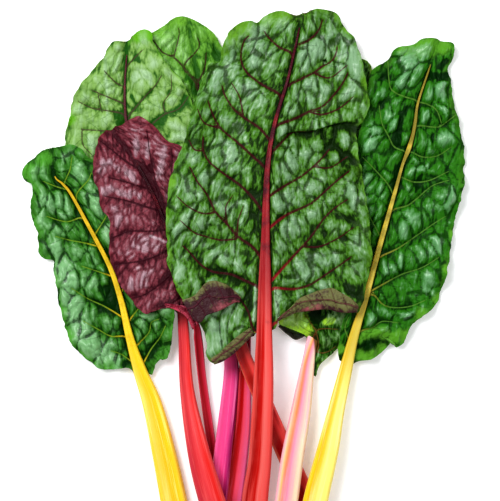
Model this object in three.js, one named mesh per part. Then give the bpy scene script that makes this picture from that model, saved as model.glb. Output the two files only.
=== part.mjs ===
// A bunch of rainbow chard lying on a table: nine separate leaves, each with its own stalk.
// Millimetres. +Z is up, the table is z = 0, +Y runs from the cut stalk ends to the leaf tips.

import * as THREE from "three";

// Driving dimensions.
const BLADE_THICKNESS = 1.2;
const GAP = 0.35; // clearance between pieces that lie on each other
const BLADE_ROWS = 14; // rows of faces from a blade's base to its tip
const HALF_COLUMNS = 5; // columns of faces on each side of a midrib
const RIB_BED = 0.6; // flat strip of blade that shows beyond each side of the midrib
const STALK_SIDES = 8;
const STALK_STEP = 21; // length of one stretch of stalk
const GROOVE_DEPTH = 0.16; // of the channel along the top of a stalk, as a share of its height
const MAP_CELL = 3; // cell size of the map of what already lies on the table
const SHEET_REACH = 16; // a blade's corner clears everything within this distance

// Each leaf: its stalk and midrib from the cut end to the leaf tip as [x, y, underside z, width, height],
// the y at which the blade starts, and the blade's left and right margins from the stalk to the tip.
// ruffle is the height of the margin's waves and waves their number. curl, where a leaf has it, is how far
// those waves also rise off what the leaf lies on. The leaves lie in this order, lowest first.
const LEAVES = [
  {
    name: "crimson_stalk_leaf",
    green: 0x2f7034,
    red: 0xc11a48,
    base: -36,
    stalk: [
      [-18, -222, 0, 16.5, 9.5],
      [-8.5, -166, 0, 14.5, 9],
      [-1, -110, 0, 12, 8.5],
      [1, -69, 0, 10, 7.5],
      [2, -36, 1.6, 8, 6],
      [5, 11, 1.6, 6, 4.5],
      [10, 75, 1.6, 4, 3],
      [19, 152.5, 2, 2, 1.5],
    ],
    left: [[-4, -34], [-16, -12], [-24, 30], [-22, 75], [-11, 120], [2, 144], [14, 153]],
    right: [[8, -34], [22, -14], [34, 20], [40, 70], [41, 115], [36, 142], [24, 153]],
    ruffle: 4,
    waves: 3,
  },
  {
    name: "magenta_stalk_leaf",
    green: 0x35793a,
    red: 0xe8407f,
    base: -40,
    stalk: [
      [-32, -205, 7.5, 14, 9],
      [-22, -170, 6.8, 13.5, 9],
      [-17, -125, 6.4, 12.5, 8],
      [-11, -69, 1, 11, 7.5],
      [-11, -42, 1.6, 8, 6],
      [-6, 25, 3, 5.5, 4],
      [-1, 75, 4, 4, 3],
      [5, 121, 4.5, 2, 1.5],
    ],
    left: [[-17, -38], [-30, -20], [-41, 10], [-42, 45], [-35, 85], [-18, 112], [0, 121]],
    right: [[-5, -38], [10, -22], [24, 8], [29, 45], [27, 85], [20, 112], [9, 121]],
    ruffle: 4,
    waves: 3,
  },
  {
    name: "dark_red_stalk_leaf",
    green: 0x3f8a3a,
    red: 0x9c0f1c,
    base: -34,
    stalk: [
      [66, -201, 0, 16.5, 9.5],
      [47, -157, 0, 16, 9.5],
      [29, -117, 1.5, 15, 9],
      [14, -81, 9, 13.5, 8.5],
      [-2, -42, 10.5, 11, 7.5],
      [-11, 3, 10, 8, 6],
      [-23, 75, 6, 5.5, 4],
      [-36, 166, 3, 3, 2],
      [-44, 220, 3, 1.8, 1.4],
    ],
    left: [[-12, -30], [-31, -14], [-51, 27], [-67, 75], [-76, 123], [-83, 165], [-81, 200], [-67, 215], [-50, 221]],
    right: [[6, -30], [16, 2], [23, 43], [21, 91], [12, 131], [1, 163], [-10, 189], [-26, 212], [-38, 219]],
    ruffle: 7,
    waves: 4,
  },
  {
    name: "pink_white_stalk_leaf",
    green: 0x2c6b2f,
    red: 0xf4a8b0,
    base: -52,
    stalk: [
      [26, -212, 8.5, 17, 9.5],
      [34, -166, 10.6, 18.5, 9.5],
      [39, -130, 10.4, 18, 9.5],
      [46, -93, 6, 16, 8.5],
      [52, -55, 2, 11, 7],
      [55, -35, 1.6, 7.5, 5.5],
      [65, 43, 1.6, 5.5, 4],
      [73, 99, 1.6, 4, 3],
      [86.5, 188.5, 2, 2, 1.5],
    ],
    left: [[44, -48], [37, -31], [28, -22], [35, 3], [37, 40], [41, 80], [48, 118], [58, 152], [70, 178], [82, 188]],
    right: [[60, -56], [74, -44], [86, -22], [95, 20], [99, 70], [103, 112], [105, 147], [103, 172], [98, 184], [91, 189]],
    ruffle: 6,
    waves: 4,
  },
  {
    name: "red_stalk_leaf",
    green: 0x63b04c,
    red: 0xdd1f26,
    base: -18,
    stalk: [
      [-7, -222, 12.5, 22, 11],
      [-24, -166, 17, 21, 10.5],
      [-35, -127, 15, 18, 9.5],
      [-45, -77, 7, 11.5, 8],
      [-48, -29, 5, 9, 6.5],
      [-52, 11, 5, 7, 5.5],
      [-63, 51, 5, 6, 4.5],
      [-87, 123, 4, 4.5, 3.5],
      [-96, 165, 3, 3, 2.5],
      [-92, 207, 3, 1.8, 1.4],
    ],
    left: [[-54, -14], [-70, 2], [-93, 26], [-116, 53], [-132, 83], [-143, 112], [-144, 134], [-136, 158], [-113, 188], [-98, 203]],
    right: [[-42, -14], [-34, 22], [-31, 67], [-32, 107], [-38, 139], [-44, 160], [-62, 186], [-73, 201], [-79, 209], [-86, 210]],
    ruffle: 8,
    waves: 4,
  },
  {
    name: "left_yellow_stalk_leaf",
    green: 0x1f6a34,
    red: 0xf7c91b,
    base: -62,
    stalk: [
      [-46, -221, 0, 23, 11],
      [-56, -166, 0, 21.5, 10.5],
      [-64.5, -125, 0, 19, 10],
      [-73.5, -88, 0.5, 15.5, 9],
      [-83, -62, 2, 11, 7.5],
      [-91.5, -34, 4, 7, 6],
      [-99, -2, 5, 5.5, 5],
      [-110, 28, 5.5, 4.5, 4],
      [-136, 77, 5, 3, 2.5],
      [-155.5, 114, 5, 1.8, 1.4],
    ],
    left: [[-92, -60], [-114, -60], [-133, -46], [-145, -18], [-150, 12], [-160, 32], [-168, 60], [-177, 92], [-175, 104], [-160, 113]],
    right: [[-74, -62], [-61, -50], [-55, -14], [-60, 20], [-68, 51], [-83, 79], [-100, 98], [-121, 108], [-137, 118], [-150, 116]],
    ruffle: 8,
    waves: 5,
  },
  {
    name: "burgundy_leaf",
    green: 0x6e1830,
    red: 0x9a1234,
    base: -22,
    stalk: [
      [-21, -157, 0, 7.5, 6],
      [-26, -120, 0, 7.5, 6],
      [-33, -69, 3, 7, 6],
      [-36, -37, 10, 7, 5.5],
      [-39, -19, 13, 6, 5],
      [-60, 51, 15, 4.5, 4],
      [-82, 99, 13, 3.5, 3],
      [-105.5, 131, 10, 2, 1.5],
    ],
    left: [[-45, -18], [-62, -11], [-80, -14], [-94, 2], [-105, 28], [-107, 56], [-116, 83], [-119, 108], [-113, 127]],
    right: [[-33, -18], [-38, 5], [-38, 45], [-40, 80], [-47, 113], [-60, 123], [-72, 135], [-85, 142], [-98, 135]],
    ruffle: 6,
    waves: 4,
  },
  {
    name: "right_yellow_stalk_leaf",
    green: 0x135226,
    red: 0xf6cf2e,
    base: -56,
    stalk: [
      [47, -223, 9.5, 20.5, 10.5],
      [57, -166, 10.6, 20, 10.5],
      [67, -125, 10, 17.5, 9.5],
      [74, -93, 7.5, 13.5, 8.5],
      [82, -60, 5, 10.5, 7.5],
      [89, -31, 5, 7.5, 6],
      [99, 3, 5, 5.5, 5],
      [121, 78, 5, 4, 3.5],
      [140, 154, 4.5, 3, 2.5],
      [157, 203.5, 5, 1.8, 1.4],
    ],
    left: [[74, -54], [77, -38], [84, -5], [87, 35], [87, 83], [91, 120], [100, 170], [115, 187], [124, 198], [144, 205], [153, 204]],
    right: [[92, -54], [112, -47], [133, -30], [155, -6], [165, 30], [171, 66], [177, 105], [171, 146], [165, 177], [168, 199], [161, 203]],
    ruffle: 9,
    waves: 5,
  },
  {
    name: "centre_leaf",
    green: 0x3c7f3f,
    red: 0xd21f2b,
    base: -30,
    stalk: [
      [5, -225, 0.5, 21, 11],
      [9, -166, 6.5, 21, 11],
      [13, -133, 11.5, 18.5, 10],
      [15, -93, 17.5, 17, 9],
      [16, -62, 19.5, 15.5, 8.5],
      [16.5, -29, 20, 12.5, 8],
      [17, 12, 18, 10, 7],
      [17.5, 46, 16, 7, 5.5],
      [19, 99, 14, 5.5, 4.5],
      [25, 136, 12.5, 4.5, 3.5],
      [36, 174, 10, 3.5, 2.5],
      [47.5, 225.5, 8, 1.8, 1.4],
    ],
    left: [[4, -27], [-10, -45], [-25, -53], [-32, -30], [-46, -5], [-59, 24], [-60, 65], [-55, 98], [-41, 145], [-30, 180], [-10, 206], [16, 222], [40, 224]],
    right: [[28, -22], [46, -13], [74, -11], [94, -12], [101, 22], [99, 74], [92, 110], [95, 138], [99, 155], [96, 178], [87, 204], [74, 222], [55, 227]],
    ruffle: 8,
    waves: 5,
    curl: 9,
  },
];

// The height of what already lies on the table, in square cells.
class Pile {
  constructor() {
    this.tops = new Map();
  }

  key(x, y) {
    return `${Math.round(x / MAP_CELL)},${Math.round(y / MAP_CELL)}`;
  }

  // The highest thing within reach of a point.
  under(x, y, reach) {
    let top = 0;
    const steps = Math.ceil(reach / MAP_CELL);
    for (let i = -steps; i <= steps; i += 1) {
      for (let j = -steps; j <= steps; j += 1) {
        if (Math.hypot(i, j) * MAP_CELL <= reach) {
          top = Math.max(top, this.tops.get(this.key(x + i * MAP_CELL, y + j * MAP_CELL)) ?? 0);
        }
      }
    }
    return top;
  }

  raise(x, y, z) {
    const key = this.key(x, y);
    this.tops.set(key, Math.max(this.tops.get(key) ?? 0, z));
  }

  // Marks every cell below a face with the face's height there.
  addTriangle(a, b, c) {
    const longest = Math.max(a.distanceTo(b), b.distanceTo(c), c.distanceTo(a));
    const steps = Math.ceil(longest / (MAP_CELL / 2)) + 1;
    for (let i = 0; i <= steps; i += 1) {
      for (let j = 0; j <= steps - i; j += 1) {
        const p = i / steps;
        const q = j / steps;
        const r = 1 - p - q;
        this.raise(a.x * p + b.x * q + c.x * r, a.y * p + b.y * q + c.y * r, a.z * p + b.z * q + c.z * r);
      }
    }
  }

  add(geometry) {
    const places = geometry.getAttribute("position");
    const corners = geometry.getIndex().array;
    const corner = (k) => new THREE.Vector3().fromBufferAttribute(places, corners[k]);
    for (let k = 0; k < corners.length; k += 3) {
      this.addTriangle(corner(k), corner(k + 1), corner(k + 2));
    }
  }
}

function closedMesh(points, faces) {
  const geometry = new THREE.BufferGeometry();
  geometry.setAttribute("position", new THREE.Float32BufferAttribute(points.flat(), 3));
  geometry.setIndex(faces.flat());
  geometry.computeVertexNormals();
  return geometry;
}

const curveOf = (points) => new THREE.CatmullRomCurve3(points.map(([x, y]) => new THREE.Vector3(x, y, 0)));

// Reads one column of the stalk's list at a point along its curve.
function alongStalk(leaf, column, t) {
  const place = t * (leaf.stalk.length - 1);
  const k = Math.min(Math.floor(place), leaf.stalk.length - 2);
  return THREE.MathUtils.lerp(leaf.stalk[k][column], leaf.stalk[k + 1][column], place - k);
}

// The stalk's stations: place, side direction, width, height and underside, from the cut end to the tip.
function stationsOf(leaf) {
  const curve = curveOf(leaf.stalk);
  const count = Math.ceil(curve.getLength() / STALK_STEP);
  const stations = [];
  for (let i = 0; i <= count; i += 1) {
    const t = curve.getUtoTmapping(i / count);
    const along = curve.getTangent(t);
    stations.push({
      at: curve.getPoint(t),
      side: new THREE.Vector2(along.y, -along.x).normalize(),
      width: alongStalk(leaf, 3, t),
      height: alongStalk(leaf, 4, t),
      z: alongStalk(leaf, 2, t),
    });
  }
  return stations;
}

// Lifts the stations in the blade clear of the pile, and fills the dips so that the midrib stays smooth.
function settle(stations, leaf, pile) {
  const bed = BLADE_THICKNESS + 2 * GAP;
  for (const station of stations) {
    if (station.at.y >= leaf.base) {
      station.z = Math.max(station.z, pile.under(station.at.x, station.at.y, SHEET_REACH) + bed);
    }
  }
  for (let i = 1; i < stations.length - 1; i += 1) {
    const level = (stations[i - 1].z + stations[i + 1].z) / 2;
    stations[i].z = Math.max(stations[i].z, level - 0.5);
  }
}

// A stalk with its midrib: rounded below, with a shallow channel along the top.
function stalkGeometry(stations) {
  const points = [];
  const faces = [];
  for (const { at, side, width, height, z } of stations) {
    for (let k = 0; k < STALK_SIDES; k += 1) {
      const angle = ((k + 0.5) / STALK_SIDES) * 2 * Math.PI;
      const across = (Math.cos(angle) / Math.cos(Math.PI / STALK_SIDES)) * (width / 2);
      const groove = Math.sin(angle) > 0.5 && Math.abs(Math.cos(angle)) < 0.5 ? GROOVE_DEPTH * height : 0;
      const up = (height / 2) * (1 + Math.sin(angle) / Math.cos(Math.PI / STALK_SIDES)) - groove;
      points.push([at.x + side.x * across, at.y + side.y * across, z + up]);
    }
  }
  const last = stations.length - 1;
  for (let i = 0; i < last; i += 1) {
    for (let k = 0; k < STALK_SIDES; k += 1) {
      const a = i * STALK_SIDES + k;
      const b = i * STALK_SIDES + ((k + 1) % STALK_SIDES);
      faces.push([a, a + STALK_SIDES, b], [b, a + STALK_SIDES, b + STALK_SIDES]);
    }
  }
  for (let k = 1; k < STALK_SIDES - 1; k += 1) {
    const tip = last * STALK_SIDES;
    faces.push([0, k, k + 1], [tip, tip + k + 1, tip + k]);
  }
  return closedMesh(points, faces);
}

// The stalk's place, side direction, width and underside at a share of its whole length.
function stalkAt(stations, share) {
  const place = share * (stations.length - 1);
  const k = Math.min(Math.floor(place), stations.length - 2);
  const [low, high, blend] = [stations[k], stations[k + 1], place - k];
  return {
    at: low.at.clone().lerp(high.at, blend),
    side: low.side.clone().lerp(high.side, blend).normalize(),
    width: THREE.MathUtils.lerp(low.width, high.width, blend),
    z: THREE.MathUtils.lerp(low.z, high.z, blend),
  };
}

// The share of the stalk's length at which it reaches the blade.
function baseShare(stations, base) {
  const above = stations.findIndex((station) => station.at.y >= base);
  const [low, high] = [stations[above - 1].at.y, stations[above].at.y];
  return (above - 1 + (base - low) / (high - low)) / (stations.length - 1);
}

// A blade: a thin sheet under its midrib, falling to what it lies on, with a waved margin.
function bladeGeometry(leaf, stations, pile) {
  const margins = [curveOf(leaf.left), curveOf(leaf.right)];
  const start = baseShare(stations, leaf.base);
  const points = [];
  for (let row = 0; row <= BLADE_ROWS; row += 1) {
    const share = row / BLADE_ROWS;
    const rib = stalkAt(stations, start + (1 - start) * share);
    const level = rib.z - GAP - BLADE_THICKNESS;
    const bed = rib.width / 2 + RIB_BED;
    const halves = margins.map((margin, right) => {
      const edge = margin.getPointAt(share);
      const inner = rib.at.clone();
      inner.x += rib.side.x * (right ? bed : -bed);
      inner.y += rib.side.y * (right ? bed : -bed);
      const half = [];
      for (let column = 0; column <= HALF_COLUMNS; column += 1) {
        const out = column / HALF_COLUMNS;
        const place = inner.clone().lerp(edge, out);
        const wave = 0.5 + 0.5 * Math.sin(2 * Math.PI * (leaf.waves * share + 0.37 * right));
        const free = level * (1 - out) + leaf.ruffle * out ** 2 * wave;
        const clear = pile.under(place.x, place.y, SHEET_REACH);
        const lying = Math.max(free, clear > 0 ? clear + GAP : 0) + (leaf.curl ?? 0) * out ** 2 * wave;
        half.push([place.x, place.y, column === 0 ? level : lying]);
      }
      return half;
    });
    points.push(...halves[0].reverse(), ...halves[1]);
  }

  const columns = 2 * (HALF_COLUMNS + 1);
  const under = points.length;
  const corner = (row, column) => row * columns + column;
  const faces = [];
  const quad = (a, b, c, d) => faces.push([a, b, c], [a, c, d]);
  for (let row = 0; row < BLADE_ROWS; row += 1) {
    for (let column = 0; column < columns - 1; column += 1) {
      const [a, b] = [corner(row, column), corner(row, column + 1)];
      const [c, d] = [corner(row + 1, column + 1), corner(row + 1, column)];
      quad(a, b, c, d);
      quad(d + under, c + under, b + under, a + under);
    }
    const [leftLow, leftHigh] = [corner(row, 0), corner(row + 1, 0)];
    const [rightLow, rightHigh] = [corner(row, columns - 1), corner(row + 1, columns - 1)];
    quad(leftLow + under, leftLow, leftHigh, leftHigh + under);
    quad(rightLow, rightLow + under, rightHigh + under, rightHigh);
  }
  for (let column = 0; column < columns - 1; column += 1) {
    const [low, next] = [corner(0, column), corner(0, column + 1)];
    const [high, after] = [corner(BLADE_ROWS, column), corner(BLADE_ROWS, column + 1)];
    quad(low + under, next + under, next, low);
    quad(high, after, after + under, high + under);
  }
  const tops = points.map(([x, y, z]) => [x, y, z + BLADE_THICKNESS]);
  return closedMesh([...tops, ...points], faces);
}

function piece(name, geometry, color, roughness) {
  const mesh = new THREE.Mesh(geometry, new THREE.MeshStandardMaterial({ color, roughness, metalness: 0 }));
  mesh.name = name;
  return mesh;
}

const bunch = new THREE.Group();
const pile = new Pile();
for (const leaf of LEAVES) {
  const stations = stationsOf(leaf);
  settle(stations, leaf, pile);
  const blade = bladeGeometry(leaf, stations, pile);
  const stalk = stalkGeometry(stations);
  pile.add(blade);
  pile.add(stalk);
  bunch.add(piece(`${leaf.name}_blade`, blade, leaf.green, 0.45));
  bunch.add(piece(`${leaf.name}_stalk`, stalk, leaf.red, 0.35));
}

export default bunch;
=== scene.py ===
"""Looks of a loose bunch of rainbow chard that lies flat on a table, dressed over its solid model."""

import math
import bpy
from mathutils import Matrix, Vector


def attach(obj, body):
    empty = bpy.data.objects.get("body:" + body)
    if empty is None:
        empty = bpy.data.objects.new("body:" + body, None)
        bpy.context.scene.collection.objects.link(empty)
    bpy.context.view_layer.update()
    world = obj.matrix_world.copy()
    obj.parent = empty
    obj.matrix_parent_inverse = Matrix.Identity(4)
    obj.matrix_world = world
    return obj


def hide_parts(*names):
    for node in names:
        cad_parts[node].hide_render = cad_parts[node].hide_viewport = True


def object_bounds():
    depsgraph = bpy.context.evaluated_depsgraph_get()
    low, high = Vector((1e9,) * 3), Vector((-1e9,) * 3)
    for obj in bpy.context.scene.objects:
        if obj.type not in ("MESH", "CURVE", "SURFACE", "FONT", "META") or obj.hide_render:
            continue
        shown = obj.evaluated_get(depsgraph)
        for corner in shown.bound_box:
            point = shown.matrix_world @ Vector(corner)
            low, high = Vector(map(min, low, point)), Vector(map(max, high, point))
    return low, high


bl_info = {
    "name": "Rainbow chard bunch",
    "version": (1, 0, 0),
    "blender": (4, 5, 0),
    "location": "3D View > Sidebar > Chard",
    "description": "Crinkled chard leaves on coloured stalks, with a pale table, soft light and a camera",
    "category": "Object",
}

import bpy
import numpy as np
from mathutils import Vector

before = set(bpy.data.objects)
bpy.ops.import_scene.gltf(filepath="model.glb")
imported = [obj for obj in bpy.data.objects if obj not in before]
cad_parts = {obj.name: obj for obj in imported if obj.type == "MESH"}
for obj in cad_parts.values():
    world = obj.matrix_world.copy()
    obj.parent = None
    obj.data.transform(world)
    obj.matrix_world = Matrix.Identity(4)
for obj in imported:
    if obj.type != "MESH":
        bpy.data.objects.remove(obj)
CAD_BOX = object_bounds()
MM = 0.001


def points_in(value):
    """value with each text in it read as a list of points: commas between numbers, blanks between points."""
    if isinstance(value, str):
        return [tuple(float(number) for number in point.split(",")) for point in value.split()]
    if isinstance(value, dict):
        return {key: points_in(part) for key, part in value.items()}
    return [points_in(part) for part in value] if isinstance(value, (list, tuple)) else value


# Every leaf, lowest first, in millimetres on the table, with +Y towards the leaf tips.
# stalk: x, y, underside height, width and height, from the cut end to the leaf tip.
# left and right: the blade's margins, from its base to its tip. veins: side veins, from the midrib outwards.
# bright: x, y and radius of pale lime spots, partly the margins' own colour and partly painted light on curled rims.
# holes: x, y and radius of holes that go through.
# marks: line, radius and height of single ridges, or of hollows below nought. lifts: the same for broad rises.
# The marks also paint the blade's colour through its puff value: a painted highlight along a ridge, painted shade in
# a hollow.
# steps: line, height and reach of a part that lies over the next one, with a painted shadow on the lower part beside
# it.
# folds: root line, rim line, radius, share of bronze, and middle and half length of the pink part of a rolled margin.
# Where the share of bronze is low, the roll's middle keeps its painted shade.
# base and rib_end: the y where the blade starts and where its midrib is sunk. coloured: the range of y in which the
# stalk's colours turn into the midrib's. shades: y, half length and strength of painted shade on the stalk, in its
# tip colour.
# grid: rows along the blade and columns in each half. puff and ruffle: height of the puffs and of the waved margin.
# cell: width of a puff. lean: how much the puffs stretch along the midrib. vein: width of the side veins. valley:
# width of the hollows beside them. left_dip: width of the hollow at the left of the midrib. left_tone: how much
# further the side veins at the left have turned to their outer colour. plain: nothing tints the left margin.
LEAVES = points_in({
    "crimson_stalk_leaf": {
        "stalk": """-18,-222,0,17.5,9.5 -9,-166,0,17,9 -1.2,-110,0,13.8,8.5 1,-69,0,10.6,7.5 2,-36,1.6,8,6
            5,11,1.6,6,4.5 10,75,1.6,4,3 19,152.5,2,2,1.5""",
        "left": "-4,-34 -16,-12 -24,30 -22,75 -11,120 2,144 14,153",
        "right": "8,-34 22,-14 34,20 40,70 41,115 36,142 24,153",
        "veins": [],
        "base": -36, "grid": (56, 16), "puff": 0.6, "ruffle": 0.8, "cell": 12, "lean": 1,
    },
    "magenta_stalk_leaf": {
        "stalk": """-32,-205,7.5,14.5,9 -21.5,-170,6.8,14.5,9 -16.3,-125,6.4,14,8 -10,-69,1,12.6,7.5
            -10,-42,1.6,10,6 -6,25,3,5.5,4 -1,75,4,4,3 5,121,4.5,2,1.5""",
        "left": "-17,-38 -30,-20 -41,10 -42,45 -35,85 -18,112 0,121",
        "right": "-5,-38 10,-22 24,8 29,45 27,85 20,112 9,121",
        "veins": [],
        "base": -40, "grid": (56, 16), "puff": 0.6, "ruffle": 0.8, "cell": 12, "lean": 1,
    },
    "dark_red_stalk_leaf": {
        "stalk": """66,-201,0,16.5,9.5 47,-157,0,16,9.5 29,-117,1.5,15,9 14,-81,9,13.5,8.5 -2,-42,10.5,11,7.5
            -11,3,10,8,6 -23,75,6,5.5,4 -36,166,3,2,2 -45,222.6,3,1.1,1.2""",
        "left": """-8,-30 -31,-13 -51,27 -67,75 -76,123 -83,163 -84,191 -79,208 -73,210 -67,214.5 -61,217.8
            -55,221.8 -49,223.4""",
        "right": "4,-30 15,3 23,43 21,91 12,131 1,163 -9,187 -16,197 -21,204 -26,211 -34,217 -41,221",
        "veins": [
            "-36,166 -40,172 -48,182 -56,190 -65,194 -72,203", "-56,191 -52,207 -52,213", "-48,182 -36,198 -37,206",
            "-38,168 -32,179 -30,193", "-30,123 -43,139 -57,152 -67,162", "-32,139 -22,152 -17,165",
            "-24,91 -35,104 -46,115",
        ],
        "bright": "-66,208,4 -50,219,5 -24,207,5",
        "marks": [("-44,172 -39,165", 4, -0.8), ("-28,197 -19,190", 5, -0.7), ("-60,205 -50,196", 12, 0.35)],
        "base": -34, "rib_end": 176, "grid": (150, 62), "puff": 1.6, "ruffle": 1.6, "cell": 11, "lean": 1,
        "vein": 1.5,
    },
    "pink_white_stalk_leaf": {
        "stalk": """26,-212,8.5,17,9.5 34,-166,10.6,18.5,9.5 39,-130,10.4,18,9.5 46,-93,6,16,8.5
            52.5,-52,2,10,7 55.6,-35,1.6,9.3,5.5 57,-20,1.6,6,5 65,43,1.6,5.5,4 73,99,1.6,4,3
            86.5,188.5,2,2,1.5""",
        "left": """51,-60 52.5,-46 51,-34.5 44,-31.5 36,-28.5 28.5,-24.5 31,-14 34,3 36,35 40,75 47,115 55,147
            57,172 64,190 76,194 84,191""",
        "right": "58,-66 61.5,-56 71.5,-48 76,-43 83,-36 92,-5 96,35 100,75 103,115 104,147 104,171 101,186 89,191",
        "veins": [
            "60,-44 58.3,-31 55.6,-26 49.6,-17", "57,-47 64,-47.5 70,-45.5 74,-42.5", "59,-29 66,-28 75,-28.6",
            "63,6 74,26 85,45", "61,3 50,16 42,26", "69,59 81,83 93,107", "72,75 63,91 55,107",
            "77,115 87,139 95,159", "77,115 68,131 60,146",
        ],
        "bright": "33,-22,13 40,-22,12 47,-29,8 65.5,-23,2.4 67.7,-22.3,3 70,-21.6,3 72,-21,2.2",
        "marks": [("38,-22 44,-22", 4, 0.8), ("60,-18 72,-12", 5, -0.5)],
        "lifts": [("50,-26 58,-30 64,-38", 5, 6)],
        "folds": [
            (
                "49,-33 44,-31 36,-28 29,-24.5", "49,-33.5 42,-36.5 36,-33 28,-26",
                -1.2, 0, 0.5, 0.3,
            ),
        ],
        "base": -62, "rib_end": -22, "coloured": (-60, -15), "grid": (150, 50), "puff": 1.4, "ruffle": 1.2,
        "cell": 10, "lean": 1.2, "vein": 0.8,
    },
    "red_stalk_leaf": {
        "stalk": """-7,-222,12.5,22,11 -24,-166,17,21,10.5 -35,-127,15,18,9.5 -45,-77,7,11.5,8 -48,-29,5,9,6.5
            -52,11,5,7,5.5 -63,51,5,6,4.5 -90,123,4,2.6,3 -94.5,141,4,2.3,2.8 -95.5,168,3,1.6,2
            -93,203.5,3,1,1.2""",
        "left": """-53,-15 -63,0 -91,26 -115,53 -131,83 -142,107 -143.5,123 -143,131 -140.5,138 -138.7,144
            -138.5,151 -133.5,162 -126,174 -118,183 -112.5,189 -110,196 -103.5,202.5 -96,202""",
        "right": """-43,-15 -35,27 -31,67 -32,107 -38,139 -43,159 -51,173 -63,187 -71,200 -74,209 -79.5,212
            -86,210.5 -90,206""",
        "veins": [
            "-96,166 -103,170 -111,178", "-97,153 -109,158 -121,163", "-98,145 -109,147 -121,149 -132,154",
            "-114,147 -117,162", "-86,122 -99,128 -114,131 -130,132", "-130,132 -129,120 -122,112",
            "-75,91 -91,99 -107,107 -121,110", "-93,184 -86,190 -81,195", "-92,143 -81,156 -71,166 -66,174",
            "-87,123 -71,138 -63,144 -52,148 -44,158", "-63,146 -64,153 -58,163 -58,175", "-75,91 -60,107 -48,115",
        ],
        "marks": [
            ("-71,137 -62,128 -52,120", 5, -0.5), ("-64,138 -54,139 -45,137", 4, -0.35),
            ("-101,142 -98,133", 3.5, -0.7), ("-89.6,158 -89,155", 2.5, -0.5), ("-86,189 -83,186", 2, -0.5),
            ("-85,192 -73,178", 10, -0.2), ("-111,190 -109,145", 1.2, 0.5), ("-92,143 -81,156 -71,166", 1.6, -0.2),
            ("-80,130 -71,138 -63,144 -52,148 -45,157", 1.8, -0.3), ("-63,146 -64,153 -59,163", 1.8, -0.3),
            ("-52,166 -47,152", 4, -0.3),
        ],
        "bright": "-84,207,6 -77,208,7 -140,140,6",
        "base": -18, "rib_end": 202, "grid": (190, 76), "puff": 1.3, "ruffle": 1.8, "cell": 13, "lean": 1,
        "vein": 1.2, "plain": True,
    },
    "left_yellow_stalk_leaf": {
        "stalk": """-46,-221,0,23,11 -56,-166,0,21.5,10.5 -64.5,-125,0,19,10 -73.5,-88,0.5,15.5,9
            -83,-62,2,11,7.5 -91.5,-34,4,6.6,6 -99,-2,5,4.8,4.6 -110,28,5.5,3.8,3.8 -136,76,5,2.5,2.5
            -145,88,5,2,2 -152,95,5,1.7,1.6 -155.5,116.8,5,1.4,1.2""",
        "left": """-88,-64 -92,-59 -100,-60 -114,-60 -129,-50 -141,-34 -146,-14 -149,-7 -149,5 -152,16 -153,26
            -160,28.5 -164,33 -165,41 -165,50 -169,58 -171,66 -170.5,74 -168.5,80 -169,87 -174,90 -177,95
            -176.5,101 -173,105 -169,108 -165,112 -161,115 -157.5,116""",
        "right": """-74,-65 -68,-53 -60,-49 -55,-13 -59,19 -68,51 -83,79 -100,98 -122,108 -129,115 -137,119.5
            -143.5,118.6 -149,117.6 -153.5,117""",
        "veins": [
            "-100,-17 -112,-10 -125,-4 -137,4", "-96,-34 -107,-34 -118,-28 -128,-22", "-90,-54 -97,-49 -106,-46",
            "-108,15 -120,19 -129,22", "-116,38 -128,41 -139,43 -150,46", "-131,61 -140,58 -148,59 -157,62",
            "-140,83 -150,86 -160,90", "-98,1 -95,8 -90,18", "-90,-19 -83,-10 -75,2",
            "-86,-42 -76,-31 -74,-23 -68,-20", "-80,-55 -74,-44 -67,-35 -62,-25", "-133,81 -124,91 -122,96",
            "-120,45 -112,58 -105,71", "-108,24 -99,38 -91,50", "-144,89 -139,99 -137,109",
        ],
        "bright": "-172,98,7 -160,108,7 -150,10,6 -145,-12,5 -139,-33,5 -126,-49,5 -108,-57,5",
        "marks": [
            ("-147,22 -142,0 -133,-28 -116,-46 -104,-53", 7, 0.55), ("-112,6 -104,-12", 4, -0.7),
            ("-98,-26 -92,-42", 3.5, -0.5), ("-96,-57 -88,-50", 3, -0.7), ("-76,-50 -69,-40", 4, -0.4),
            ("-121,2 -114,-14", 4, -0.5),
        ],
        "base": -62, "rib_end": 99, "grid": (190, 78), "puff": 2.4, "ruffle": 2, "cell": 15, "lean": 1.3,
        "vein": 0.9,
    },
    "burgundy_leaf": {
        "stalk": """-21,-157,0,7.5,6 -26,-120,0,7.5,6 -33,-69,3,7,6 -36,-37,10,7,5.5 -39,-19,13,5,5
            -60,51,15,2.8,3.4 -82,99,13,2,2.6 -105.5,131,10,1.4,1.3""",
        "left": """-46,-16 -54,-10 -69,-12 -78,-15 -91,-2 -103,17 -107,39 -106,59 -113,67 -116,83 -120,94
            -119,111 -116,123 -110,131""",
        "right": "-34,-19 -38,-6 -43,19 -39,47 -39,75 -43,99 -49,117 -60,122 -72,134 -84,142 -97,135 -103,134",
        "veins": [
            "-73,83 -83,86 -96,90 -107,93", "-82,99 -94,106 -105,115 -114,122",
            "-63,71 -68,83 -72,98 -75,115 -77,130", "-60,63 -59,78 -57,98 -57,115", "-65,66 -76,69 -91,74 -110,78",
            "-60,51 -75,50 -91,50 -104,45", "-57,37 -70,30 -84,26 -100,24", "-52,21 -64,10 -78,0 -88,-3",
            "-48,3 -54,-5 -67,-10", "-59,43 -53,55 -47,69",
        ],
        "marks": [
            ("-48,5 -72,10 -92,22", 17, -0.15), ("-74,46.4 -67,44 -60,41", 0.9, 0.9),
            ("-79,105 -72,86 -62,68", 3, -0.4), ("-75,101 -74,98", 2, -1.4), ("-85,122 -86,110", 2, 0.7),
            ("-75.6,120 -77,109", 2.2, 0.9), ("-62,117 -69,92", 2.5, 0.6), ("-53,105 -62,74", 1.8, 0.5),
            ("-112,83 -110,80", 3, 0.7), ("-104,83 -91,77", 2.5, 0.5), ("-92,96 -85,89", 2.5, 0.7),
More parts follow.
